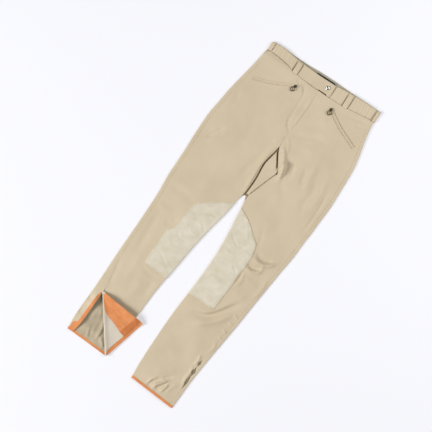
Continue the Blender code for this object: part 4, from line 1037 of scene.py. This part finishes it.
# painted shade: the facing's outer rows, next to the hem band, are a darker orange
facing.data.materials.append(DARK_KNIT_AND_SHADE)
painted_shade_slots = np.zeros(len(facing.data.polygons), np.int32)
painted_shade_slots[SHADED_FROM * (COLUMNS - 1) : (ROWS - 1) * (COLUMNS - 1)] = 1
facing.data.polygons.foreach_set("material_index", painted_shade_slots)

binding_left = line("vent_binding_right", 1, 0, 0, 4.0)
y = np.linspace(-853.5, -989.0, 64)
grid = strip_between(np.stack([binding_left(y), y], -1), np.stack([binding_right(y) + 0.4, y], -1),
                     7, lambda x, y: wrap_height(LEGS["right"], x, y) + AIR + TRIM)
sewn(wall("vent_binding", grid, TRIM, KNIT), "knit", "vent_binding_right",
     cut=cut_of(grid), rests_on=["back_right"])

# %% [markdown]
# ## The gusset
# A diamond of cloth between the legs gives room to sit astride. It is sewn to the left front along
# its lower side, gapes along its upper side, and dives under the right front, whose edge stands up.

# %% Crotch gusset
def gusset_grid(rows=78, columns=64):
    """Across: from under the right front to the left front's edge. Height: a low trench beside the
    right front, a plateau, and a trench again where the slit gapes. Below its tip only the low part
    goes on, bowed, as the seat seam that closes the fork."""
    y = np.linspace(-233.0, -409.0, rows)[:, None]
    slit = 1 - soft_step(-y, 278, 300)
    edge, right = LEGS["right"].rise(y), LEGS["left"].rise(y) - 0.2
    share = np.linspace(0, 1, columns)
    x = edge - 9.0 + share * (right - edge + 9.0)
    bowed = np.sin(np.pi * np.clip((x - edge) / (right - edge), 0, 1))
    low, high = CLOTH + AIR, np.maximum(front_height(LEGS["left"], right + 0.5, y), 7.2)
    rise = 0.9 * soft_step(x, edge + 3.8, edge + 5.6) + 0.1 * soft_step(x, edge + 5, right - 1.0)
    gape = 5.0 * soft_step(-y, 236, 252)
    rise = rise * (1 - slit * soft_step(x, right - gape - 1.4, right - gape))
    rise = rise * (1 - soft_step(-y, 388, 399))
    puff = 1.4 * np.sin(np.pi * rise) * soft_step(-y, 240, 290) * (1 - soft_step(-y, 350, 392))
    y = y + 9.0 * soft_step(-y, 396, 409) * bowed
    return np.stack([x, y, low + (high - low) * rise + puff], -1)


grid = gusset_grid()
gusset = sewn(wall("gusset", grid, CLOTH - 0.2, TWILL, TWILL_INSIDE), "twill", "crotch_gusset",
              cut=cut_of(grid), rests_on=["back_left", "back_right"])
# painted shade: faces that lie low in the gusset's two trenches get the dull brown twill
TRENCH = 4.5               # the cloth lower than this, in mm, lies in one of them
gusset.data.materials.append(TWILL_PAINTED_SHADE)
height = (grid[:-1, :-1, 2] + grid[1:, 1:, 2]) / 2
finish_of = np.zeros(len(gusset.data.polygons), np.int32)
gusset.data.polygons.foreach_get("material_index", finish_of)
finish_of[: height.size][height.ravel() < TRENCH] = 2
gusset.data.polygons.foreach_set("material_index", finish_of)

# %% [markdown]
# ## Knee patches
# Suede grips the saddle, so each patch covers the inner knee: it starts on the front, runs round
# the inseam and on under the leg. Its front outline is a table of rows, each a straight line from
# the patch's front edge to the inseam, lightly bowed. Suede is stiffer than twill, and its creases
# are shorter and closer together.

# %% Suede patches
# rows: x and y of the front edge, y where the row meets the inseam, bow
PATCH_ROWS = {
    "right": [(-112, -497, -435, 5), (-118, -520, -470, 3), (-121, -540, -500, 2),
              (-122, -560, -530, 1), (-124, -576, -560, 0), (-127, -588, -590, 0),
              (-141, -606, -625, 0), (-142, -655, -660, 0), (-143, -690, -690, 0),
              (-143, -714, -720, 0)],
    "left": [(96, -500, -435, 6), (102, -520, -470, 3), (105, -540, -500, 2),
             (105, -560, -530, 1), (104, -580, -560, 0), (103, -600, -590, 0),
             (101, -630, -625, 0), (99, -660, -660, 0), (97, -690, -690, 0), (95, -720, -720, 0)],
}
PATCH_BACK = 46.0


def patch_rows(side, count):
    """The table's columns read at `count` even steps, eased between the rows."""
    table = np.array(PATCH_ROWS[side], float)
    at = np.linspace(0, len(table) - 1, count)
    eased = at + 0.12 * np.sin(2 * np.pi * at) / np.pi
    return [np.interp(eased, np.arange(len(table)), column) for column in table.T]


def patch_plan(side, share, count):
    """Plan points of the part of a patch that lies on the front, and its rolled end."""
    leg = LEGS[side]
    x, y, y_inner, bow = patch_rows(side, count)
    a, b = np.stack([x, y], -1), np.stack([leg.inner(y_inner), y_inner], -1)
    length = np.linalg.norm(b - a, axis=1, keepdims=True)
    radius = (leg.edge(y_inner) / 2)[:, None]
    plan = a[:, None] + (share * (1 - radius / length))[..., None] * (b - a)[:, None]
    plan[..., 1] += bow[:, None] * np.sin(np.pi * share)
    return plan, radius, (b - a) / length


def patch_grid(side, rows=116):
    """Over the front, half a turn round the inseam, and back on the table under the leg."""
    leg, lift = LEGS[side], SUEDE + AIR
    share = np.linspace(0, 1, 48)
    plan, radius, towards = patch_plan(side, share, rows)
    x, y = plan[..., 0], plan[..., 1]
    fade = soft_step(share, 0.0, 0.1) * (1 - soft_step(share, 0.88, 1.0))
    height = front_height(leg, x, y) + lift + fade * creases(PATCH_CREASES, x, y)
    over = np.concatenate([plan, height[..., None]], -1)
    angle = np.linspace(0, math.pi, 13)[1:]
    reach = (radius + lift) * np.sin(angle)
    corner = plan[:, -1:] + reach[..., None] * towards[:, None]
    middle, half = height[:, -1:] / 2, height[:, -1:] / 2
    round_it = np.concatenate([corner, (middle + half * np.cos(angle))[..., None]], -1)
    back = np.linspace(0, PATCH_BACK, 14)[1:]
    under = plan[:, -1:] - back[:, None] * towards[:, None]
    flat = np.concatenate([under, np.zeros(under.shape[:2])[..., None]], -1)
    return np.concatenate([over, round_it, flat], axis=1)


for side in LEGS:
    grid = patch_grid(side)
    sewn(wall(f"patch_{side}", grid, SUEDE, SUEDE_NAP), "suede", f"knee_patch_{side}",
         cut=cut_of(grid), rests_on=[f"front_{side}", "floor"])

# %% [markdown]
# ## The waistband
# The waistband is a folded double layer, so it is thicker than the panels and its long edges are
# round. Its lining is elastic, which draws the outer cloth into fine upright ripples, strongest at
# the sides. The right end climbs over the left one as a tab and is rounded off.

# %% Rows of the waistband
BAND_STACK, TAB_RISE, TAB_END, TAB_CORNER = 6.3, 2.7, 42.0, 9.0
BAND_TOP = {
    "front": [(-190, 6), (-178, 7), (-164, 11.5), (-135, 11.5), (-105, 6.5), (-85, 4.5),
              (-55, 2.5), (-15, 0), (35, 0), (65, 3.5), (95, 6), (135, 7), (165, 6.5), (200, 3.5)],
    "back": [(-190, 7), (-178, 8), (-164, 13), (-135, 13), (-105, 10), (-85, 9), (-55, 9),
             (-15, 11), (35, 11), (65, 9.5), (95, 9), (135, 9), (165, 8.5), (200, 6)],
}
# distances from a long edge, in mm, at which the band has a row: close together on its round rim
RIM_ROWS = np.array([0.0, 0.12, 0.45, 1.0, 1.8])
RIM_RADIUS = 1.1


def ripple(x, y):
    """Uneven upright ripples, about 8 and 14 mm apart, that fade out towards the closure."""
    strong = 0.10 + 0.90 * soft_step(np.abs(x - 5), 40, 85)
    lean = x + 0.10 * y
    fine = 0.42 * np.sin(lean / 1.35 + 1.3 * np.sin(x / 17))
    return strong * (fine + 0.26 * np.sin(lean / 2.3 + 2.0 * np.sin(x / 31)))


def band_rows(x, which, count=12, inset=0.0):
    """y of every row at every x, from the seam to the top, and how far each row's rim has dropped:
    r - sqrt(r^2 - (r - d)^2) at a distance d from the edge."""
    low, high = through(WAIST_SEAM, x) + 0.15 + inset, through(BAND_TOP[which], x) - inset
    middle = np.linspace(0, 1, count)[1:-1]
    rows = [low + d for d in RIM_ROWS]
    rows += [low + RIM_ROWS[-1] + m * (high - low - 2 * RIM_ROWS[-1]) for m in middle]
    rows += [high - d for d in RIM_ROWS[::-1]]
    near = np.concatenate([RIM_ROWS, np.full(count - 2, 9.0), RIM_ROWS[::-1]])
    depth = RIM_RADIUS - np.minimum(near, RIM_RADIUS)
    drop = RIM_RADIUS - np.sqrt(np.maximum(RIM_RADIUS**2 - depth**2, 0.0))
    return np.array(rows), drop[:, None]


print("band height at the middle:", round(float(through(BAND_TOP["front"], 0.0)
      - through(WAIST_SEAM, 0.0)), 1), "mm")

# %% [markdown]
# The tab presses on the left end, the snap presses into the tab, and each belt loop draws the band
# in beside it. These small hollows are what makes layers readable from above.

# %% Front of the waistband
SNAP_HOLLOW = 1.1
BESIDE_TAB = (43.8, 3.2, 2.0)      # x, depth and half width of the groove along the tab's end
LOOPS = {"right": -77.5, "left": 94.0}
LOOP_WIDTH, STITCH_ROOM = 14.0, 1.6
SIDE_GROOVES = [(-166.5, 2.2), (176.5, 3.4)]       # along the side loops, in the same way


def groove(x, place, depth, reach=1.9):
    """A narrow upright groove: depth * exp(-((x - place) / reach)^2)."""
    return depth * np.exp(-(((x - place) / reach) ** 2))


def pulled_in(x):
    """Grooves where the band is drawn in, along each belt loop's edges: deeper at the left edge."""
    reach = LOOP_WIDTH / 2 + STITCH_ROOM
    places = [(middle + e * reach, 2.6 - 0.7 * e) for middle in LOOPS.values() for e in (-1, 1)]
    return sum(groove(x, place, depth) for place, depth in places + SIDE_GROOVES)


def tab_climb(x):
    """How far the closing end has climbed over the left end at x."""
    return TAB_RISE * soft_step(x, -47, -17)


def front_band(x, rounded):
    """One front end of the waistband; the closing end rises over the other and is rounded. Its
    lower edge gapes a little below the snap."""
    inset = np.zeros(len(x))
    if rounded:
        corner = np.clip(x - (TAB_END - TAB_CORNER), 0, TAB_CORNER)
        inset = TAB_CORNER - np.sqrt(TAB_CORNER**2 - corner**2 * 0.985)
    y, drop = band_rows(x, "front", inset=inset)
    y = y + 3.0 * soft_step(x, 2, 9) * (1 - soft_step(x, 29, 36)) * (1 - soft_step(y, -36, -20))
    xs = np.broadcast_to(x, y.shape)
    height = BAND_STACK - drop + ripple(xs, y) - pulled_in(xs)
    if not rounded:
        return np.stack([xs, y, height - groove(xs, *BESIDE_TAB)], -1)
    height += tab_climb(xs) - 0.5 * (1 - soft_step(np.abs(xs - x[-1]), 0, 2.5))
    height += 0.8 * spot(xs, y, (16.0, -37.0), 12.0) - SNAP_HOLLOW * spot(xs, y, SNAP_AT, 8.5)
    return np.stack([xs, y, height], -1)


def side_of(node, end):
    """x of a solid's lowest (0) or highest (1) side."""
    return (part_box(node)[end].x - ZERO[0]) / MM


RIB = 1.7                  # mm between two columns of the band
band_side = {"right": side_of("waistband_back", 0), "left": side_of("waistband_back", 1)}
seam_at = {"right": side_of("waistband_front_right", 0), "left": side_of("waistband_front_left", 1)}
x = np.concatenate([np.arange(seam_at["right"], TAB_END - TAB_CORNER, RIB),
                    TAB_END - TAB_CORNER * (1 - np.sin(np.radians(np.arange(0, 91, 7.5))))])
grid = front_band(x, True)[::-1]
sewn(wall("band_front_right", grid, BAND, TWILL, BAND_LINING), "twill",
     "waistband_front_right", cut=cut_of(grid), rests_on=["band_back", "band_front_left"])
grid = front_band(np.arange(-14.0, seam_at["left"] + 0.5, RIB), False)[::-1]
sewn(wall("band_front_left", grid, BAND, TWILL, BAND_LINING), "twill",
     "waistband_front_left", cut=cut_of(grid), rests_on=["band_back"])

# %% [markdown]
# The back of the band comes round both sides, so it is one long strip: a piece on the front, half
# a turn, the run on the table, half a turn, and a piece on the front again.

# %% Back of the waistband
def back_band():
    """The back of the band: a strip on the front at each side seam, a half turn round each side,
    and the long part on the table between them."""
    radius = BAND_STACK / 2
    runs, lifts = [], []
    for side, sign in (("right", -1), ("left", 1)):
        centre = band_side[side] - sign * radius
        strip = np.linspace(seam_at[side] + sign * 0.4, centre, 4)
        angle = np.linspace(0, math.pi, 13)[1:]
        x = np.concatenate([strip, centre + sign * radius * np.sin(angle)])
        z = np.concatenate([np.full(4, BAND_STACK), radius * (1 + np.cos(angle))])
        runs.append(x if sign < 0 else x[::-1])
        lifts.append(z if sign < 0 else z[::-1])
    between = np.arange(runs[0][-1] + RIB, runs[1][0] - RIB / 2 + 0.05, RIB)
    x = np.concatenate([runs[0], between, runs[1]])
    z = np.concatenate([lifts[0], np.zeros(len(between)), lifts[1]])
    y, drop = band_rows(x, "back")
    inward = np.where(z > radius, -1.0, 1.0)
    return np.stack([np.broadcast_to(x, y.shape), y, z + inward * drop], -1)


grid = back_band()[::-1]
sewn(wall("band_back", grid, BAND, TWILL, BAND_LINING), "twill", "waistband_back",
     cut=cut_of(grid), rests_on=["floor"])

# %% [markdown]
# ## Belt loops, label and snap
# A belt loop is a folded strip sewn down at both ends only. It stands off the band in between, and
# the dark gap at its sides shows that. The label is sewn inside the back of the band. The snap's
# cap is turned: one profile swept round an upright axis.

# %% Belt loops
for side, middle in LOOPS.items():
    share, across = np.meshgrid(np.linspace(0, 1, 22), np.linspace(-1, 1, 9), indexing="ij")
    x = middle + across * LOOP_WIDTH / 2
    low, high = through(WAIST_SEAM, x) - 2.5, through(BAND_TOP["front"], x) - 1.0
    y = low + share * (high - low)
    stand = 1.9 * (1 - np.abs(2 * share - 1) ** 6) + 0.6 * np.sin(np.pi * share)
    z = BAND_STACK + AIR + CLOTH + stand - 0.5 * across**8 + 0.2 * np.sin(9 * share + 2 * across)
    grid = np.stack([x, y, z], -1)
    sewn(wall(f"loop_{side}", grid, CLOTH, TWILL), "twill", f"belt_loop_front_{side}",
         cut=cut_of(grid), rests_on=[f"band_front_{side}"])

for side, sign in (("right", -1), ("left", 1)):
    radius = BAND_STACK / 2
    out = radius + AIR + CLOTH + 0.4
    centre = band_side[side] - sign * radius
    angle = np.linspace(0, np.radians(122), 18)
    x = centre + sign * np.concatenate([-np.linspace(6.0, 0.6, 6), out * np.sin(angle)])
    z = np.concatenate([np.full(6, radius + out), radius + out * np.cos(angle)])
    share = np.linspace(0, 1, 18)[:, None]
    low, high = through(WAIST_SEAM, centre) + 0.2, through(BAND_TOP["front"], centre) - 0.5
    grid = np.stack(np.broadcast_arrays(x, low + share * (high - low),
                                        z - 0.5 * np.abs(2 * share - 1) ** 6), -1)
    sewn(wall(f"loop_side_{side}", grid, CLOTH, TWILL), "twill", f"belt_loop_side_{side}",
         cut=cut_of(grid), rests_on=["band_back"])

# %% [markdown]
# The label is a flat satin ribbon, sewn to the inside of the back just under its top edge.

# %% Label
x, y = np.meshgrid(np.linspace(-22, 37, 30), np.linspace(4.8, -22, 15))
grid = np.stack([x, y, BAND + AIR + 0.8 + 0.25 * np.sin(x / 9) * soft_step(y, -22, 5)], -1)
sewn(wall("label", grid, 0.8, LABEL_WEAVE), "label", "waist_label", cut=cut_of(grid),
     rests_on=["band_back"])


# %% Snap cap
def turned(name, profile, place, finish, steps=48):
    """A cap swept round an upright axis from (radius, height) pairs, closed below by its last
    ring and on the axis by single points, so both poles are fans of triangles."""
    profile = np.array(profile, float)
    turn = np.linspace(0, 2 * math.pi, steps, endpoint=False)
    ring = np.stack([np.cos(turn), np.sin(turn)], -1)
    rings = [np.column_stack([r * ring, np.full(steps, h)]) for r, h in profile]
    points = np.concatenate([[[0, 0, profile[0, 1] + 0.02]], *rings, [[0, 0, profile[-1, 1]]]])
    index = 1 + np.arange(len(profile) * steps).reshape(-1, steps)
    after = np.roll(index, -1, axis=1)
    faces = np.stack([index[:-1], index[1:], after[1:], after[:-1]], -1).reshape(-1, 4).tolist()
    faces += [(0, a, b) for a, b in zip(index[0].tolist(), after[0].tolist())]
    last = len(points) - 1
    faces += [(last, b, a) for a, b in zip(index[-1].tolist(), after[-1].tolist())]
    return new_object(name, points + np.array(place), faces, finish)


CAP = [(0.8, 2.32), (1.8, 2.27), (2.8, 2.12), (3.6, 1.88), (4.15, 1.55), (4.4, 1.3), (4.6, 1.18),
       (4.8, 1.22), (5.0, 1.4), (5.25, 1.5), (5.55, 1.45), (5.85, 1.2), (6.0, 0.85), (6.0, 0.45),
       (5.8, 0.1), (5.5, 0.0)]
snap_base = (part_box("waist_snap")[0].z - ZERO[2]) / MM - 0.15
snap = turned("snap", CAP, (*SNAP_AT, snap_base), NICKEL)
sewn(snap, "nickel", "waist_snap")

# %% [markdown]
# ## Zipped pockets
# Each pocket opens along a slanting zip between two narrow lips of cloth, the welts. The coil shows
# as a dark seam of small teeth below the welt's edge. The sliders are parked at the closed end, and
# their ring pulls hang loose and can be flipped over.

# %% Welts and zip coils
def offset_path(points, away, step=3.0):
    """The smooth path through the points, moved sideways to its left by `away`."""
    path = eased_path(points, step)
    run = np.gradient(path, axis=0)
    run = run / np.linalg.norm(run, axis=1, keepdims=True)
    return path + away * np.column_stack([-run[:, 1], run[:, 0]])


def beside_pocket(side, away):
    """A line that runs above the pocket's zip by `away` mm; the two zips are drawn mirrored."""
    return offset_path(POCKETS[side], away if side == "right" else -away)


for side, leg in LEGS.items():
    rims = [beside_pocket(side, away) for away in (4.0, -4.0)]
    share = np.linspace(0, 1, 13)
    plan = rims[0][None] + share[:, None, None] * (rims[1] - rims[0])[None]
    x, y = plan[..., 0], plan[..., 1]
    round_edge = (1 - (2 * share - 1) ** 8)[:, None]
    lips = 0.75 * round_edge - 0.9 * np.exp(-(((share - 0.5) / 0.11) ** 2))[:, None]
    height = front_height(leg, x, y) + (0.3 if side == "left" else 0.05) + lips
    grid = np.stack([x, y, height], -1)
    sewn(wall(f"welt_{side}", grid, TRIM, TWILL), "twill", f"pocket_welt_{side}",
         cut=cut_of(grid), rests_on=[f"front_{side}"])

# %% [markdown]
# ## Stitches
# A lockstitch shows as a row of short threads, 3 mm apart, each dipping into the cloth at its ends.
# One spindle of twenty triangles is copied along each seam, and all stitches of a seam are one
# mesh. They are only a third of a millimetre thick, but they catch the light along every seam.

# %% One stitch, and a seam of them
PROUD = 0.12               # mm that a thread's middle stands above the cloth


def spindle(steps=5):
    """A thread's short bulge along x, one unit long and one unit thick: two rings, two ends."""
    turn = np.linspace(0, 2 * math.pi, steps, endpoint=False)
    ring = np.stack([np.zeros(steps), np.cos(turn), np.sin(turn)], -1) / 2
    points = np.concatenate([[[-0.5, 0, -0.4]], ring + [-0.22, 0, 0], ring + [0.22, 0, 0],
                             [[0.5, 0, -0.4]]])
    faces, last = [], 1 + 2 * steps
    for i in range(steps):
        a, b = 1 + i, 1 + (i + 1) % steps
        faces += [(0, b, a), (a, b, steps + b), (a, steps + b, steps + a), (steps + a, steps + b, last)]
    return points, np.array(faces)


def stitched(name, runs, finish=THREAD, pitch=3.0, length=2.5, thick=0.55, slot="twill"):
    """One mesh of stitches, a `pitch` apart in mm; each run is (points of a path, height function
    of x and y). A stitch follows the path's direction and the cloth's slope along it."""
    shape, faces = spindle()
    clouds = []
    for points, height in runs:
        path = np.asarray(points, float)
        far = np.concatenate([[0], np.cumsum(np.linalg.norm(np.diff(path, axis=0), axis=1))])
        at = np.arange(pitch / 2, far[-1], pitch)
        x, y = np.interp(at, far, path[:, 0]), np.interp(at, far, path[:, 1])
        dx = np.interp(at + 0.5, far, path[:, 0]) - np.interp(at - 0.5, far, path[:, 0])
        dy = np.interp(at + 0.5, far, path[:, 1]) - np.interp(at - 0.5, far, path[:, 1])
        size = np.hypot(dx, dy)
        along = np.column_stack([dx / size, dy / size, np.zeros(len(at))])
        ends = [height(x + s * along[:, 0], y + s * along[:, 1]) for s in (-1.0, 1.0)]
        along[:, 2] = (ends[1] - ends[0]) / 2
        across = np.column_stack([-dy / size, dx / size, np.zeros(len(at))])
        centre = np.column_stack([x, y, (ends[0] + ends[1]) / 2 + PROUD])
        cloud = centre[:, None] + shape[None, :, :1] * length * along[:, None] \
            + shape[None, :, 1:2] * thick * across[:, None] \
            + shape[None, :, 2:] * thick * np.array([0, 0, 1.0])
        clouds.append(cloud.reshape(-1, 3))
    points = np.concatenate(clouds)
    count = len(points) // len(shape)
    all_faces = (faces[None] + len(shape) * np.arange(count)[:, None, None]).reshape(-1, 3)
    sewn(new_object(name, points, all_faces.tolist(), finish), slot)
    print(f"{name}: {count} stitches")


def on_front(side, above=0.0):
    """The height function for a stitch on a leg's front, or on something that lies on it."""
    return lambda x, y: front_height(LEGS[side], x, y) + above


def on_band(x, y):
    """Top of the front waistband, with the tab where it lies over the left end."""
    return BAND_STACK + tab_climb(x) * (x < TAB_END) + ripple(x, y)


# %% [markdown]
# A pocket is stitched four times: twice through the welt and twice beside it. The zip's teeth are
# stitches too, shorter, thicker and closer. The right zip is nearly hidden by its welt, so it shows
# one pale row; the left one gapes and shows both, in shade. The fly is topstitched in a long hook.

# %% Pocket, zip and fly stitches
COILS = {"right": ([-4.6], THREAD), "left": ([4.6, -4.6], DARK_THREAD)}
for side in LEGS:
    on_welt, on_cloth = on_front(side, 0.9), on_front(side)
    stitched(f"pocket_stitches_{side}",
             [(beside_pocket(side, away), on_welt) for away in (2.6, -2.6)]
             + [(beside_pocket(side, away), on_cloth) for away in (6.5, -6.5)])
    rows, tone = COILS[side]
    stitched(f"zip_coil_{side}", [(beside_pocket(side, row), on_front(side, 0.15)) for row in rows],
             tone, 1.6, 1.1, 1.0)

fly = [(offset_path(FLY_STITCH, a), on_front("right")) for a in (-1.6, 1.6)]
fly.append(([(-1.5, -184), (-1.5, -228)], on_front("right")))
fly.append(([(8.2, -60), (9.2, -92), (7.2, -124), (5.4, -152), (2.4, -172)], on_front("left")))
stitched("fly_stitches", fly)

# %% [markdown]
# The band is stitched close to both its edges, the patches twice all round, and the side seams once
# beside the join, through the seam's folded edge below.

# %% Band, patch and seam stitches
def band_line(start, end, which):
    """A stitch line on the band, 2 mm in from its lower or upper edge."""
    x = np.arange(start, end, 2.0)
    edge = through(WAIST_SEAM, x) + 2.4 if which == "low" else through(BAND_TOP["front"], x) - 2.6
    return np.column_stack([x, edge])


ends = [(seam_at["right"] + 2, TAB_END - TAB_CORNER), (TAB_END + 2, seam_at["left"] - 2)]
stitched("waist_stitches",
         [(band_line(*pair, which), on_band) for which in ("low", "top") for pair in ends])

patch_runs = []
for side, leg in LEGS.items():
    plan, _, _ = patch_plan(side, np.linspace(0, 0.96, 70), 116)
    height = on_front(side, SUEDE + AIR)
    for inset in (1.8, 4.6):
        patch_runs.append((plan[:, 0] - [leg.sign * inset, 0], height))
        patch_runs.append((plan[0] - [0, inset], height))
        patch_runs.append((plan[-1] + [0, inset], height))
stitched("patch_stitches", patch_runs, slot="suede")

seams = []
for side, leg in LEGS.items():
    y = np.arange(-45.0, -835.0 if side == "right" else -985.0, -4.0)
    inset = np.column_stack([side_edge(leg, y) - leg.sign * 1.6, y])
    seams.append((inset, on_front(side)))
stitched("side_seam_stitches", seams)

# %% [markdown]
# The hem bands are sewn on with orange thread. At the gusset a row of stitches runs along each
# front's edge, and a dense little bar, the tack, holds the point where the slit ends.

# %% Hem, gusset and tack stitches
left_hem = HEM_TOP["left"] + 1.5
run = np.column_stack([np.linspace(12, 138, 60), np.linspace(left_hem - 0.2, left_hem - 10.5, 60)])
inner_hem = outer_line + HEM_INWARDS * (HEM_WIDTH - 1.8)
stitched("hem_stitches", [(run, on_front("left")), (run - [0, 3.4], on_front("left")),
                          (inner_hem, lambda x, y: corner_height(x, y) + CLOTH)],
         DARK_KNIT_AND_SHADE, slot="knit")
gusset_edge = [(32, -305), (24, -328), (15, -350), (6, -372), (1, -388)]
y = np.arange(-240.0, -402, -4)
right_edge = np.column_stack([LEGS["right"].rise(y) - 2.2, y])
stitched("gusset_stitches", [(offset_path(gusset_edge, 2.2), on_front("left")),
                             (right_edge, on_front("right"))])
tack = [([(30, y), (38, y - 1)], on_front("left", 0.1)) for y in np.arange(-296.0, -302.5, -0.9)]
stitched("crotch_tack", tack, DARK_THREAD, 1.3, 1.8, 0.9)

# %% [markdown]
# ## Hard parts
# The sliders and ring pulls are already detailed solids. They keep their shape and get a small
# bevel, which catches the light on every edge, and an antiqued brass finish.

# %% Sliders and pulls
for side in LEGS:
    for kind, width in (("zip_slider", 0.25), ("zip_pull", 0.35)):
        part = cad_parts[f"{kind}_{side}"]
        part.data.materials.clear()
        part.data.materials.append(ANTIQUE)
        soft = part.modifiers.new("Rounded edges", "BEVEL")
        soft.width, soft.segments, soft.limit_method = width * MM, 2, "ANGLE"
        print(part.name, "edges rounded by", width, "mm")

# %% [markdown]
# ## Floor, light and camera
# The breeches lie on pale paper that is lit from below as well, as on a light table, so that it
# stays even and the shadows stay thin. A large soft lamp at the lower left draws the creases, a
# weaker one fills from the other side, and the camera looks straight down with a long lens.

# %% Floor
HALF, BELOW = 4.0, -0.0004
mesh = bpy.data.meshes.new("floor")
corners = [(-HALF, -HALF, BELOW), (HALF, -HALF, BELOW), (HALF, HALF, BELOW), (-HALF, HALF, BELOW)]
mesh.from_pydata(corners, [], [(0, 1, 2, 3)])
floor = bpy.data.objects.new("floor", mesh)
bpy.context.scene.collection.objects.link(floor)
paper, tree, shader, place = start_material("pale_paper_sweep", 0.9)
shader.inputs["Base Color"].default_value = linear("BCBCC0")
shader.inputs["Emission Color"].default_value = (0.96, 0.96, 1.0, 1)
shader.inputs["Emission Strength"].default_value = 0.42
mesh.materials.append(paper)
print("floor:", 2 * HALF, "m wide,", round(-BELOW / MM, 2), "mm below the cloth")


# %% Lights
def area_light(name, size, power, place, towards=(0, 0, 0)):
    """A square white area light at a place in metres, turned to face a point."""
    made = bpy.data.lights.new(name, "AREA")
    made.size, made.energy = size, power
    lamp = bpy.data.objects.new(name, made)
    bpy.context.scene.collection.objects.link(lamp)
    lamp.location = place
    away = np.array(place, float) - np.array(towards, float)
    pitch = math.atan2(np.hypot(away[0], away[1]), away[2])
    lamp.rotation_euler = (pitch, 0, math.atan2(away[1], away[0]) + math.pi / 2)


area_light("key", 2.0, 270, (-3.3, -2.9, 2.95))
area_light("fill", 1.8, 41, (1.5, 1.5, 1.8), (0.2, 0.2, 0))
world = bpy.data.worlds.new("studio")
world.use_nodes = True
world.node_tree.nodes["Background"].inputs["Color"].default_value = (0.97, 0.98, 1.0, 1)
world.node_tree.nodes["Background"].inputs["Strength"].default_value = 0.235
bpy.context.scene.world = world
bpy.context.scene.view_settings.view_transform = "Standard"
print("lamps:", [lamp.name for lamp in bpy.data.lights])

# %% Camera
FRAME_WIDTH, LENS, TURN = 1.227, 100.0, 33.0
camera_data = bpy.data.cameras.new("camera")
camera_data.lens = LENS
camera = bpy.data.objects.new("camera", camera_data)
bpy.context.scene.collection.objects.link(camera)
camera.location = (-0.0386, 0.0094, FRAME_WIDTH * LENS / camera_data.sensor_width)
camera.rotation_euler = (0, 0, math.radians(TURN))
bpy.context.scene.camera = camera
print("camera", round(camera.location.z, 2), "m up, sees", FRAME_WIDTH, "m")
